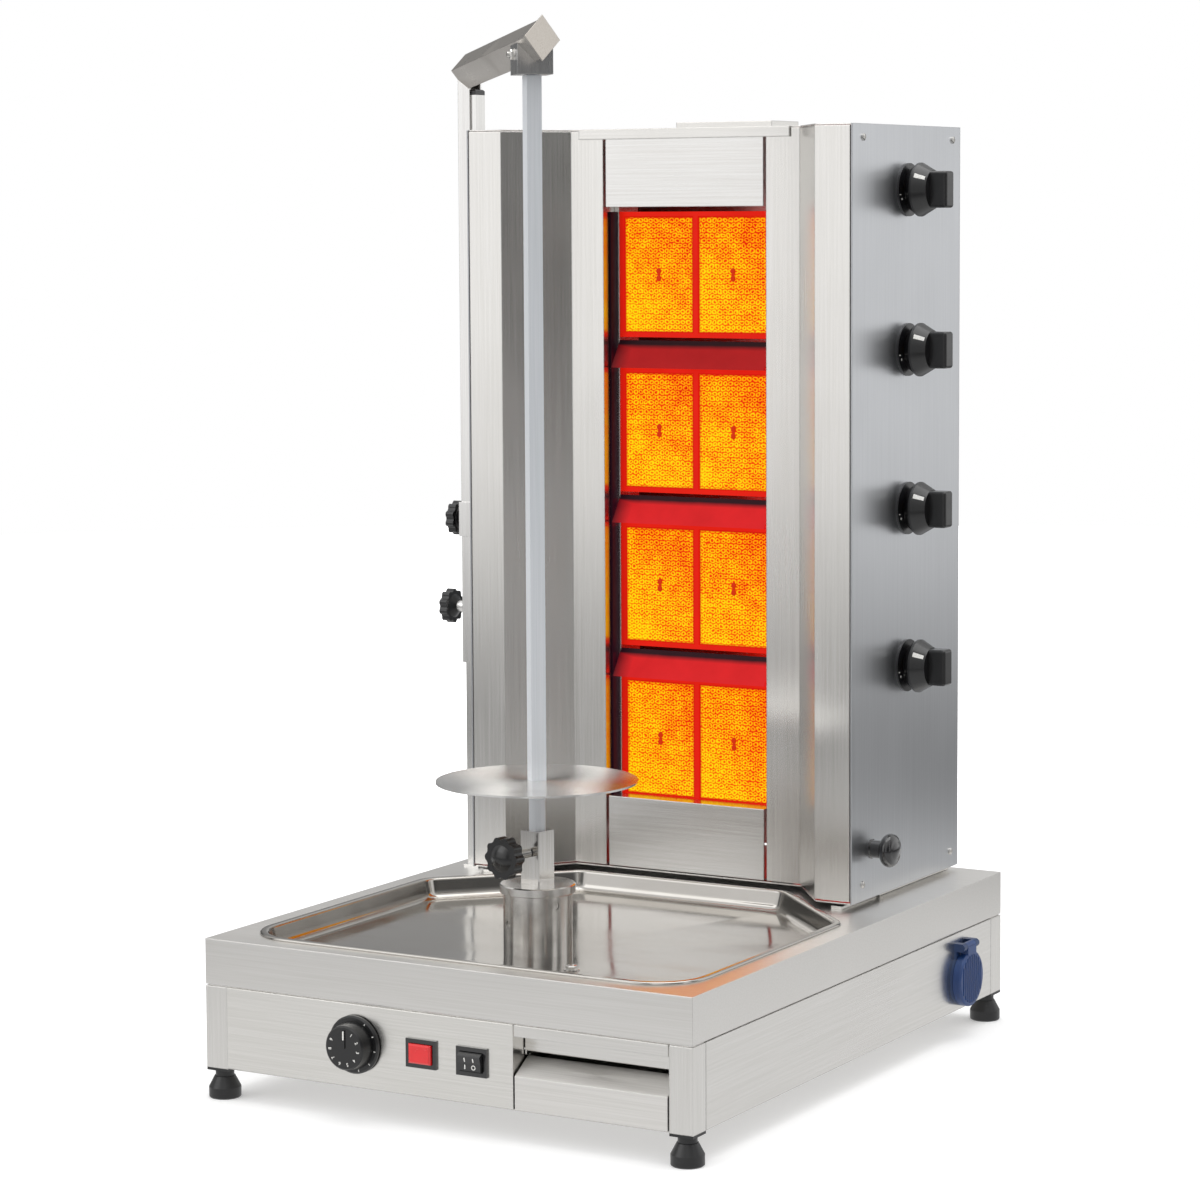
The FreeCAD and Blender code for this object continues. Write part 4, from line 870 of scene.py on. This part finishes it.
def cone_patch(foot: Pair, top: Pair, share: Pair, angle: float, half_angle: float, proud: float) -> np.ndarray:
    """A patch on a cone: r(s) = foot r + s·(top r − foot r), from angle − half to angle + half.

    Its back is sunk 0.4 mm into the cone.

    Args:
        foot: The cone's radius and height at its foot, in millimetres.
        top: The cone's radius and height at its top.
        share: Where the patch starts and ends along the cone, from 0 to 1.
        angle: The patch's middle, in degrees from the seat's right.
        half_angle: Half its width, in degrees.
        proud: How far it stands off the cone.

    Returns:
        Rings of (rings, points, 3), in millimetres.
    """
    sunk = 0.4
    along = np.linspace(*share, 6)
    radius = foot[0] + along * (top[0] - foot[0])
    height = foot[1] + along * (top[1] - foot[1])
    turn = np.radians(np.linspace(angle - half_angle, angle + half_angle, 7))
    way = np.stack([np.cos(turn), np.sin(turn)], -1)
    outer = (radius + proud)[:, None, None] * way
    inner = (radius - sunk)[:, None, None] * way[::-1]
    return raised(np.concatenate([outer, inner], 1), height[:, None])


def letter(text: str, size: float, depth: float) -> tuple[np.ndarray, list[list[int]]]:
    """Makes plain lettering a mesh, centred on the origin and facing +Z.

    Args:
        text: The characters.
        size: The font size in millimetres.
        depth: The letter's thickness in millimetres.

    Returns:
        Points in millimetres and their faces.
    """
    curve = bpy.data.curves.new("letter", "FONT")
    curve.body = text
    curve.size = size
    curve.extrude = depth / 2
    curve.offset = size * 0.012
    curve.align_x = "CENTER"
    curve.align_y = "CENTER"
    holder = add_object("letter", curve)
    mesh = bpy.data.meshes.new_from_object(holder.evaluated_get(bpy.context.evaluated_depsgraph_get()))
    points = np.empty(len(mesh.vertices) * 3)
    mesh.vertices.foreach_get("co", points)
    points = points.reshape(-1, 3)
    points[:, :2] -= (points[:, :2].min(0) + points[:, :2].max(0)) / 2
    faces = [list(face.vertices) for face in mesh.polygons]
    bpy.data.objects.remove(holder)
    bpy.data.curves.remove(curve)
    bpy.data.meshes.remove(mesh)
    return points, faces


def turned_flat(points: np.ndarray, degrees: float, shift: Point) -> np.ndarray:
    """Turns points about z, then shifts them: x' = x·cos − y·sin, y' = x·sin + y·cos.

    Args:
        points: Points of (..., 3).
        degrees: The turn, anticlockwise.
        shift: What is added after it.

    Returns:
        The moved points.
    """
    angle = math.radians(degrees)
    turn = np.array([[math.cos(angle), math.sin(angle), 0], [-math.sin(angle), math.cos(angle), 0], [0, 0, 1]])
    return points @ turn + np.asarray(shift, float)


def hex_screw(skin: Skin, seat: Seat, flat: float, head: float, washer: Pair, tail: Pair = (0.0, 0.0)) -> None:
    """Adds a washer, a hexagon with a chamfered top, and the thread's end if one stands out of it.

    Args:
        skin: The surface to add to.
        seat: Where the washer lies.
        flat: Half the width across flats, in millimetres.
        head: The hexagon's height.
        washer: The washer's radius and thickness.
        tail: The thread's radius and length past the hexagon.
    """
    radius, thick = washer
    skin.tube(seat.put(lofted(circle() * radius, ((1.0, -0.2), (1.0, thick - 0.2), (0.96, thick)))))
    corner = ((1.0, thick - 0.1), (1.0, thick + head - 0.9), (0.93, thick + head - 0.3), (0.82, thick + head))
    skin.tube(seat.put(lofted(hexagon() * flat, corner)))
    if tail[1] > 0:
        thread = threaded(tail[0], 0.25, 1.0, tail[1] + 1.0)
        skin.tube(seat.put(thread + np.array([0.0, 0.0, thick + head - 1.0])))


@dataclass
class SubAssembly:
    """A group of the grill's nodes, with a finish for each."""

    frame: dict
    finishes: ClassVar[dict[str, Finish]] = {}

    def dress(self) -> None:
        """Gives each CAD node its finish through its material slots."""
        for node, finish in self.finishes.items():
            thing = self.frame["nodes"][node]
            if not thing.material_slots:
                thing.data.materials.append(material_of(finish))
            for slot in thing.material_slots:
                slot.material = material_of(finish)
            LOG.info("finish of %s: %s", node, finish.name)

    def build(self) -> None:
        """Builds the group's new pieces, where it has any."""


@dataclass
class BaseCabinet(SubAssembly):
    """The stainless cabinet: its frame, deck, drip pan and feet, and the screw in the pan's floor."""

    pan_half_width: float = 235.0
    pan_front: float = -308.0
    pan_rear: float = 124.0
    pan_chamfer: float = 116.0
    pan_front_radius: float = 46.0
    pan_rear_radius: float = 24.0
    pan_hole: float = 20.0
    deck_top: float = 155.0
    pan_floor: float = 137.0
    pan_under: float = 135.8
    pan_outside: tuple[Pair, ...] = ((15.0, 135.8), (7.0, 136.1), (0.4, 154.6), (-6.6, 155.0))
    rim_rise: float = 2.6
    rim_inset: float = -7.0
    rim_round: float = 1.9
    mouth_inset: float = -1.5
    mouth_round: float = 3.0
    floor_round: float = 9.0
    floor_inset: float = 13.2
    pan_screw: Point = (71.6, -218.0, 137.0)
    pan_screw_flat: float = 5.0
    pan_screw_head: float = 3.6
    finishes: ClassVar[dict[str, Finish]] = {
        "base_frame": SHEET_UPRIGHT,
        "top_deck": BrushedStainless("304 stainless deck, fine brushed", Grain.ACROSS, "e6e4e1", "dfddd9", 0.32,
                                     fold=1.6),
        # Painted shade: the pan's colour is darker than the sheets' to stand in for the shade inside the pan.
        "drip_pan": DrawnStainless("304 stainless pan, deep drawn", "b4b1ac", "938d86", 0.11),
        "side_panel_left": SHEET_DEEP, "side_panel_right": SHEET_DEEP, "chassis_pan": SHEET_ACROSS,
        "gearmotor": Moulding("grey stoved paint on cast aluminium", "5b6062", "6e7375", 0.42, 0.1),
        "foot_inserts": Moulding("black nylon insert, moulded", "101012", "28282a", 0.42, 0.1),
        **{f"foot_{corner}": Moulding("black nylon foot, moulded", "0e0e10", "29292b", 0.4, 0.15)
           for corner in ("front_left", "front_right", "rear_left", "rear_right")},
    }

    def pan_outline(self, inset: float) -> np.ndarray:
        """The pan's plan outline with every side moved inwards, as (54, 2) in millimetres.

        Args:
            inset: How far the sides move in. The corner radii shrink with it.

        Returns:
            The outline, anticlockwise.
        """
        half, front, rear = self.pan_half_width - inset, self.pan_front + inset, self.pan_rear - inset
        cut = self.pan_chamfer - inset * (2 - math.sqrt(2))
        right = np.array([(half, front), (half, rear - cut), (half - cut, rear)])
        corners = np.concatenate([right, right[::-1] * [-1, 1]])
        sizes = np.array([self.pan_front_radius] + [self.pan_rear_radius] * 4 + [self.pan_front_radius])
        return rounded_polygon(corners, np.maximum(sizes - inset, 4.0))

    def drawn_pan(self) -> None:
        """The drawn pan with its rolled rim and the soft curve from its wall to its floor.

        Each ring is the outline at an inset and a height. The profile goes from the shaft hole under the
        floor, up the outside, round the rim, over its inner edge, down the wall and round a fillet to the
        floor and the hole again. Each curve is a quarter circle: its centre plus (r·cos t, r·sin t).
        """
        rim = self.deck_top + self.rim_rise
        turn = np.linspace(0, math.pi / 2, 6)
        sine, cosine = np.sin(turn), np.cos(turn)
        over, mouth, fillet = self.rim_round, self.mouth_round, self.floor_round
        profile = np.concatenate([
            self.pan_outside,
            np.column_stack([self.rim_inset + over * (1 - cosine), rim - over * (1 - sine)]),
            np.column_stack([self.mouth_inset + mouth * sine, rim - mouth * (1 - cosine)]),
            np.column_stack([self.floor_inset - fillet * cosine, self.pan_floor + fillet * (1 - sine)])])
        axis = np.array(SPIT_AXIS) / METRES
        ray = self.pan_outline(self.floor_inset) - axis
        hole = axis + self.pan_hole * ray / np.linalg.norm(ray, axis=1)[:, None]
        flat = np.stack([hole] + [self.pan_outline(inset) for inset in profile[:, 0]] + [hole])
        level = np.concatenate([[self.pan_under], profile[:, 1], [self.pan_floor]])
        skin = Skin()
        skin.loop(raised(flat, level[:, None]) * METRES)
        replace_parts(skin.place("drawn_pan", "base", "mirror_pan", self.finishes["drip_pan"]), "drip_pan")

    def build(self) -> None:
        """Builds the drawn pan, and the hexagon screw on its washer in its floor."""
        self.drawn_pan()
        skin = Skin()
        seat = Seat(self.pan_screw, (0, 0, 1), (0, 1, 0))
        hex_screw(skin, seat, self.pan_screw_flat, self.pan_screw_head, (7.4, 1.0))
        skin.place("pan_screw", "base", "screw_steel", BRIGHT_SCREW)


@dataclass
class ControlPanel(SubAssembly):
    """The front panel with its speed dial, start button and rocker switch, and what is printed on them."""

    dial: Point = (-93.0, -356.2, 72.0)
    dial_pointer_y: float = -357.2
    dial_skirt_y: float = -341.2
    numeral_radius: float = 15.6
    numeral_size: float = 4.6
    numeral_start: float = 57.0
    numeral_step: float = -33.0
    tick_radius: float = 24.4
    print_depth: float = 0.16
    rocker_upper: Point = (35.5, -342.9, 73.1)
    rocker_upper_out: Point = (0.0, -0.96, -0.28)
    rocker_lower: Point = (35.5, -342.0, 66.3)
    rocker_mark_x: float = 4.6
    finishes: ClassVar[dict[str, Finish]] = {
        "control_panel": BrushedStainless("304 stainless panel, brushed across", Grain.ACROSS, "e9e7e3", "e1dfda",
                                          0.22, fold=1.6),
        "switch_housings": BLACK_GLOSS, "rocker_cap": BLACK_GLOSS, "speed_dial": BLACK_PHENOLIC,
        "red_button": Moulding("red polycarbonate button, moulded", "e8161c", "d01218", 0.22, 0.6, 0.00001),
    }

    def build(self) -> None:
        """Builds the prints on the dial and on the rocker."""
        self.dial_print()
        self.rocker_print()

    def dial_print(self) -> None:
        """Numbers 1 to 9 on the dial's face, a pointer line on its grip and ticks on its skirt."""
        skin = Skin()
        x, y, z = self.dial
        face, grip, skirt = (Seat((x, level, z), (0, -1, 0)) for level in (y, self.dial_pointer_y, self.dial_skirt_y))
        angles = [self.numeral_start + self.numeral_step * index for index in range(9)]
        for number, angle in enumerate(angles, 1):
            points, faces = letter(str(number), self.numeral_size, self.print_depth)
            skin.add(face.put(turned_flat(points, angle - 90, polar(self.numeral_radius, angle))), faces)
        line = lofted(rounded(1.5, 8.6, 0.6), ((1.0, -0.1), (1.0, 0.04), (0.9, 0.06)))
        skin.tube(grip.put(line + np.array([0.0, 12.0, 0.0])))
        tick = lofted(rounded(0.9, 2.2, 0.4), INK)
        for angle in angles:
            skin.tube(skirt.put(turned_flat(tick, angle - 90, polar(self.tick_radius, angle))))
        skin.place("dial_print", "dial", "scale_black", PRINT_WHITE)

    def rocker_print(self) -> None:
        """Two bars on the rocker's upper half, and a bar and a ring on its lower half."""
        skin = Skin()
        upper = Seat(self.rocker_upper, self.rocker_upper_out)
        lower = Seat(self.rocker_lower, (0, -1, 0))
        bar = lofted(rounded(1.1, 4.2, 0.45), INK)
        for seat, side in ((upper, -1), (upper, 1), (lower, -1)):
            skin.tube(seat.put(bar + np.array([side * self.rocker_mark_x, 0.0, 0.0])))
        section = rounded(0.8, 0.24, 0.1, 3)[::-1]
        flat = (1.9 + section[None, :, :1]) * circle(40)[:, None, :] + np.array([self.rocker_mark_x, 0.0])
        skin.loop(lower.put(raised(flat, section[None, :, 1])))
        skin.place("rocker_print", "rocker", "scale_black", PRINT_WHITE)


@dataclass
class Drawer(SubAssembly):
    """The grease drawer at the front's right."""

    finishes: ClassVar[dict[str, Finish]] = {
        "drawer_housing": SHEET_ACROSS,
        "drawer_front": BrushedStainless("304 stainless drawer front, brushed across", Grain.ACROSS, "eeece9",
                                         "e5e3df", 0.58, fold=1.6),
        "drawer_box": SHEET_ACROSS,
    }


@dataclass
class MainsInlet(SubAssembly):
    """The round mains inlet and its sprung lid."""

    finishes: ClassVar[dict[str, Finish]] = {
        "socket_housing": Moulding("blue polyamide inlet, moulded", "17335f", "234672", 0.4, 0.1, 0.00005),
        "socket_lid": Moulding("blue polyamide lid, moulded", "1c3c72", "2a5088", 0.42, 0.1, 0.00006),
    }


@dataclass
class Spit(SubAssembly):
    """The turning column, clamp block, skewer and meat plate, with the clamp knob's thread."""

    block_half: float = 11.75
    block_turn: float = -10.0
    knob_z: float = 234.0
    thread_length: float = 21.4
    thread_radius: float = 3.9
    finishes: ClassVar[dict[str, Finish]] = {
        "motor_column": TurnedStainless("304 bar, turned bright"),
        "column_cap": TurnedStainless("304 bar cap, turned bright", streak=0.85),
        "clamp_block": BrushedStainless("304 square bar, drawn and polished", Grain.UPRIGHT, "dbd9d6", "cfccc7", 0.08),
        "skewer": BrushedStainless("304 square bar, drawn", Grain.UPRIGHT, "f4f6f9", "eef1f4", 0.74),
        "meat_plate": TurnedStainless("304 plate, circle cut and brushed round", "e6e5e3", "c9c7c4", 0.26, 0.8),
        "spit_clamp_knob": Moulding("black phenolic knob, moulded", "070709", "18181a", 0.3, 0.35),
    }

    def build(self) -> None:
        """Builds the bright thread between the clamp knob and the block."""
        turn = math.radians(self.block_turn)
        out = (math.sin(turn), -math.cos(turn), 0.0)
        reach = self.block_half + 0.3
        start = (out[0] * reach, SPIT_AXIS[1] / METRES + out[1] * reach, self.knob_z)
        skin = Skin()
        skin.tube(Seat(start, out).put(threaded(self.thread_radius, 0.55, 1.6, self.thread_length)))
        skin.place("clamp_thread", "spit_knob", "screw_steel", BRIGHT_SCREW)


@dataclass
class Mast(SubAssembly):
    """The guide post, the sliding channel and the arm that holds the skewer's top."""

    bracket_side: Point = (-12.6, -171.4, 991.0)
    bracket_out: Point = (-0.743, -0.669, 0.0)
    finishes: ClassVar[dict[str, Finish]] = {
        "guide_post": BrushedStainless("304 square tube, polished", Grain.UPRIGHT, "e9e8e6", "e0dfdc", 0.2),
        "post_plug": BLACK_PHENOLIC,
        "mast_channel": BrushedStainless("304 channel, folded and brushed", Grain.UPRIGHT, "e8e7e5", "dfdddb", 0.22,
                                         fold=0.8),
        "arm_tube": BrushedStainless("304 square tube, brushed along", Grain.ACROSS, "cfc9c1", "c4bdb4", 0.26,
                                     fold=0.8),
        "bearing_bracket": BrushedStainless("304 bracket, folded", Grain.UPRIGHT, "dcdcdc", "d0d0d0", 0.24, fold=0.6),
        "mast_knob_upper": BLACK_PHENOLIC, "mast_knob_lower": BLACK_PHENOLIC,
    }

    def build(self) -> None:
        """Builds the nut and screw end on the bracket's near side."""
        skin = Skin()
        hex_screw(skin, Seat(self.bracket_side, self.bracket_out), 4.2, 3.4, (5.6, 0.9), (2.6, 2.4))
        skin.place("bracket_screw", "mast", "screw_steel", BRIGHT_SCREW)


@dataclass
class Tower(SubAssembly):
    """The burner tower's sheets, its pan head screws and its pull grip."""

    side_x: float = 220.3
    screw_y: Pair = (97.2, 306.0)
    screw_z: Pair = (177.8, 914.8)
    screw_radius: float = 3.6
    screw_height: float = 2.35
    grip_seat: Point = (220.3, 119.0, 210.5)
    grip_core: float = 10.0
    grip_rim: float = 7.0
    grip_middle: float = 20.0
    grip_crown: float = 2.2
    finishes: ClassVar[dict[str, Finish]] = {
        "tower_rails": SHEET_DEEP, "tower_base": SHEET_ACROSS,
        **{f"tower_side_{side}": BrushedStainless("304 stainless side, satin", Grain.UPRIGHT, "d0d2d5", "cacccf",
                                                  0.3, fold=1.6) for side in ("left", "right")},
        "wing_left": SHEET_UPRIGHT, "wing_right": SHEET_UPRIGHT, "tower_back": SHEET_UPRIGHT,
        "top_cover": SHEET_ACROSS,
        "centre_plates": BrushedStainless("304 stainless plate, brushed across", Grain.ACROSS, "e6e5e3", "dddbd8",
                                          0.22, fold=1.2),
    }

    def build(self) -> None:
        """Builds the screw heads and the grip in place of the plain solids."""
        screws = Skin()
        for side in (-1, 1):
            for y in self.screw_y:
                for z in self.screw_z:
                    seat = Seat((side * self.side_x, y, z), (side, 0, 0))
                    screws.tube(seat.put(cross_head(self.screw_radius, self.screw_height, 2.1, 1.0, 1.2)))
        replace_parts(screws.place("tower_screw_heads", "tower", "screw_steel", BRIGHT_SCREW), "tower_screws")
        core, rim, middle = self.grip_core, self.grip_rim, self.grip_middle
        turn = np.linspace(-math.pi / 2, math.pi / 2, 13)
        edge = [(core + rim * math.cos(t), middle + rim * math.sin(t)) for t in turn]
        dome = [(core * (1 - s), middle + rim + self.grip_crown * (2 * s - s * s)) for s in np.linspace(0.1, 0.98, 8)]
        profile = [(10.0, 0.0), (10.0, 1.0), (9.0, 2.2), (9.0, 12.6), (9.6, 13.0)] + edge + dome
        grip = Skin()
        grip.tube(Seat(self.grip_seat, (1, 0, 0)).put(lofted(circle(), profile)))
        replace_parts(grip.place("pull_grip", "tower", "black_gloss", BLACK_GLOSS), "pull_handle")


@dataclass
class Burners(SubAssembly):
    """Four pairs of fireclay plaques, their casings and shelves, and the studs that hold the plaques."""

    plaque_x: Pair = (-43.25, 43.25)
    plaque_z: tuple[float, float, float, float] = (779.0, 618.4, 457.8, 297.2)
    plaque_y: float = 161.0
    finishes: ClassVar[dict[str, Finish]] = {
        "ceramic_tiles": GlowingFireclay("fireclay plaque, pierced and glowing"),
        # Painted light: the casings' and shelves' emission is the plaques' red light painted on. It has painted shade
        # towards their left ends, and on the shelves high up and at each top edge.
        "burner_bodies": HeatedSheet("aluminised steel casing, painted red glow", "ee1c08", cool="7c1008",
                                     cool_from=-80.0, cool_to=-110.0),
        "burner_reflectors": HeatedSheet("aluminised steel shelf, painted red glow and shade", "e61c20", cool="1c0612", dim_top=0.6,
                                         dark_lip=True),
    }

    def build(self) -> None:
        """Builds a strap with two studs in the middle of each plaque."""
        skin = Skin()
        for x in self.plaque_x:
            for z in self.plaque_z:
                seat = Seat((x, self.plaque_y, z), (0, -1, 0))
                skin.tube(seat.put(padded(3.4, 14.0, 1.4, -0.3, 0.7, 0.4)))
                for rise in (-3.8, 3.6):
                    skin.tube(seat.put(padded(5.0, 5.4, 1.9, -0.2, 1.6, 0.8) + np.array([0.0, rise, 0.0])))
        skin.place("plaque_studs", "tower", "burner_metal",
                   HeatedSheet("steel stud, glowing dull red", "d83206", cool="9c1c04", cool_from=-300.0,
                               cool_to=-400.0))


@dataclass
class GasControls(SubAssembly):
    """The gas pipe, valves, dial plates and the four knobs, with the marks on them."""

    knob_x: float = 225.5
    knob_y: float = 200.5
    knob_z: tuple[float, float, float, float] = (864.0, 704.5, 545.0, 385.5)
    plate_x: float = 222.1
    finishes: ClassVar[dict[str, Finish]] = {
        "gas_manifold": PlatedMetal("steel pipe, zinc plated", "a9abab", 0.34),
        "gas_valves": PlatedMetal("brass bar, machined", "bd9c5f", 0.28),
        "scale_discs": Moulding("black anodised plate", "101013", "202024", 0.32, 0.3),
        **{f"valve_stem_{i}": PlatedMetal("brass bar, turned", "bd9c5f", 0.24) for i in range(1, 5)},
        **{f"gas_knob_{i}": BLACK_PHENOLIC for i in range(1, 5)},
    }

    def build(self) -> None:
        """Builds an index patch on each knob's cone, and a tick and a dot on each plate."""
        prints = Skin()
        tick = lofted(rounded(3.4, 1.0, 0.4), INK)
        dot = lofted(circle(20) * 1.3, INK)
        for number, z in enumerate(self.knob_z, 1):
            patch = Skin()
            seat = Seat((self.knob_x, self.knob_y, z), (1, 0, 0))
            patch.tube(seat.put(cone_patch((26.8, 9.6), (19.5, 22.6), (0.12, 0.86), 147.0, 5.5, 0.12)))
            patch.place(f"knob_index_{number}", f"knob_{number}", "scale_black", PRINT_WHITE)
            plate = Seat((self.plate_x, self.knob_y, z), (1, 0, 0))
            prints.tube(plate.put(tick + np.array([-22.2, -5.0, 0.0])))
            prints.tube(plate.put(dot + np.array([-18.6, -9.4, 0.0])))
        prints.place("plate_print", "tower", "scale_black", PRINT_WHITE)


@dataclass
class Lamp:
    """A rectangular soft box."""

    name: str
    place: Point
    target: Point
    size: Pair
    watts: float

    def hang(self) -> None:
        """Adds the lamp to the scene, aimed at its target."""
        data = bpy.data.lights.new(self.name, "AREA")
        data.shape = "RECTANGLE"
        data.size, data.size_y = self.size
        data.energy = self.watts
        lamp = add_object(self.name, data)
        lamp.location = self.place
        aim = Vector(self.target) - Vector(self.place)
        lamp.rotation_euler = aim.to_track_quat("-Z", "Y").to_euler()


@dataclass
class Studio:
    """The pale room round the grill: world, floor, lamps and camera."""

    levels: tuple[Pair, ...] = (
        (0.0, 0.5), (0.035, 0.35), (0.05, 0.12), (0.068, 0.12), (0.085, 0.9), (0.167, 1.0), (0.228, 0.9),
        (0.25, 0.15), (0.285, 0.15), (0.305, 0.9), (0.345, 0.55), (0.38, 0.15), (0.403, 0.1), (0.465, 0.06),
        (0.485, 0.9), (0.51, 0.9), (0.53, 0.12), (0.555, 0.2), (0.583, 0.85), (0.625, 0.9), (0.667, 0.9), (0.7, 0.75),
        (0.73, 0.12), (0.77, 0.12), (0.79, 0.6), (0.83, 0.4), (0.87, 0.14), (0.917, 0.12), (0.96, 0.25), (1.0, 0.5))
    strength: float = 1.15
    zenith: float = 1.0
    floor_radius: float = 6.0
    floor_points: int = 96
    floor_glow: float = 0.22
    floor_levels: tuple[Pair, ...] = (
        (0.0, 0.8), (0.158, 0.8), (0.217, 0.6), (0.3, 0.18), (0.38, 0.2), (0.5, 0.32), (0.667, 0.5),
        (0.917, 0.95), (1.0, 1.0))
    camera_place: Point = (1.7210, -3.0015, 0.8435)
    camera_azimuth: float = 30.14
    camera_pitch: float = 5.34
    camera_roll: float = -0.0055
    camera_lens: float = 105.28
    camera_shift: float = -0.05
    lamps: tuple[Lamp, ...] = (
        Lamp("key", (-2.6, -3.0, 2.8), (0, 0, 0.5), (3.0, 2.4), 22.0),
        Lamp("top", (0.2, 0.3, 3.4), (0, 0, 0.4), (3.0, 3.0), 45.0),
    )

    def set_up(self) -> None:
        """Builds the world, the floor, the lamps and the camera."""
        self.world()
        self.floor()
        for lamp in self.lamps:
            lamp.hang()
        self.camera()

    def world(self) -> None:
        """Flags and strips that change with the direction round the grill, even overhead; white to the camera."""
        world = bpy.data.worlds.new("studio")
        bpy.context.scene.world = world
        tree = bare_tree(world)
        direction = add_node(tree, "TexCoord").outputs["Generated"]
        round_about = add_node(tree, "TexGradient", {"gradient_type": "RADIAL"}, {"Vector": direction})
        ramp = add_node(tree, "ValToRGB", links={"Fac": round_about.outputs["Fac"]})
        set_stops(ramp, greys(self.levels))
        split = add_node(tree, "SeparateXYZ", links={"Vector": direction})
        high = add_node(tree, "MapRange", {"From Min": 0.25, "From Max": 0.9}, {"Value": split.outputs["Z"]})
        mixed = add_node(tree, "Mix", {"data_type": "RGBA", 7: (self.zenith,) * 3 + (1.0,)}, {0: high, 6: ramp})
        room = add_node(tree, "Background", {"Strength": self.strength}, {"Color": mixed.outputs[2]})
        white = add_node(tree, "Background", {"Color": (1.0, 1.0, 1.0, 1.0), "Strength": 1.0})
        path = add_node(tree, "LightPath")
        choice = add_node(tree, "MixShader", links={0: path.outputs["Is Camera Ray"], 1: room, 2: white})
        add_node(tree, "OutputWorld", links={"Surface": choice})

    def floor(self) -> None:
        """A pale disc that shows white to the camera, keeps the grill's shadow, and greys off in reflections."""
        rim = raised(circle(self.floor_points)[None] * self.floor_radius, np.zeros((1, 1)))[0]
        mesh = bpy.data.meshes.new("studio_floor")
        mesh.from_pydata(rim.tolist(), [], [list(range(self.floor_points))])
        material = bpy.data.materials.new("white floor, matt paint")
        tree = bare_tree(material)
        place = add_node(tree, "TexCoord").outputs["Object"]
        speck = add_node(tree, "TexNoise", {"Scale": 5.0, "Detail": 2.0}, {"Vector": place})
        tint = add_node(tree, "Mix", {"data_type": "RGBA", 6: linear("ececec"), 7: linear("f4f4f4")}, {0: speck})
        paint = add_node(tree, "BsdfDiffuse", links={"Color": tint.outputs[2]})
        path = add_node(tree, "LightPath")
        reach = add_node(tree, "VectorMath.LENGTH", links={0: place})
        white = add_node(tree, "MapRange", {"From Min": 1.0, "From Max": 1.8, "To Min": self.floor_glow,
                                            "To Max": 1.0}, {"Value": reach.outputs["Value"]})
        seen = add_node(tree, "Math.MULTIPLY", links={0: white, 1: path.outputs["Is Camera Ray"]})
        glow = add_node(tree, "Emission", {"Color": (1.0, 1.0, 1.0, 1.0)}, {"Strength": seen})
        lit = add_node(tree, "AddShader", links={0: paint, 1: glow})
        share = add_node(tree, "Math.DIVIDE", {1: self.floor_radius}, {0: reach.outputs["Value"]})
        rings = add_node(tree, "ValToRGB", links={"Fac": share})
        set_stops(rings, greys(self.floor_levels))
        mirrored = add_node(tree, "Emission", {"Strength": 1.0}, {"Color": rings})
        shown = add_node(tree, "Math.ADD", {"use_clamp": True},
                         {0: path.outputs["Is Glossy Ray"], 1: path.outputs["Is Transmission Ray"]})
        both = add_node(tree, "MixShader", links={0: shown, 1: lit, 2: mirrored})
        add_node(tree, "OutputMaterial", links={"Surface": both})
        mesh.materials.append(material)
        floor = add_object("studio_floor", mesh)

    def camera(self) -> None:
        """The photograph's viewpoint, found from the edges of the tower and the base."""
        data = bpy.data.cameras.new("view")
        data.sensor_width = 36.0
        data.lens = self.camera_lens
        data.shift_y = self.camera_shift
        data.clip_start = 0.05
        data.clip_end = 30.0
        view = add_object("view", data)
        azimuth, pitch = math.radians(self.camera_azimuth), math.radians(self.camera_pitch)
        look = Vector((-math.sin(azimuth) * math.cos(pitch), math.cos(azimuth) * math.cos(pitch), -math.sin(pitch)))
        turn = look.to_track_quat("-Z", "Y").to_matrix() @ Matrix.Rotation(self.camera_roll, 3, "Z")
        view.rotation_euler = turn.to_euler()
        view.location = self.camera_place
        bpy.context.scene.camera = view


def main() -> None:
    """Dresses the frame, builds the new pieces and sets up the studio."""
    logging.basicConfig(level=logging.INFO)
    for thing in list(bpy.data.objects):
        bpy.data.objects.remove(thing, do_unlink=True)
    bpy.context.scene.view_settings.view_transform = "Standard"
    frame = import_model()
    for group in (BaseCabinet, ControlPanel, Drawer, MainsInlet, Spit, Mast, Tower, Burners, GasControls):
        assembly = group(frame)
        assembly.dress()
        assembly.build()
        LOG.info("built %s", group.__name__)
    Studio().set_up()


if __name__ == "__main__":
    main()
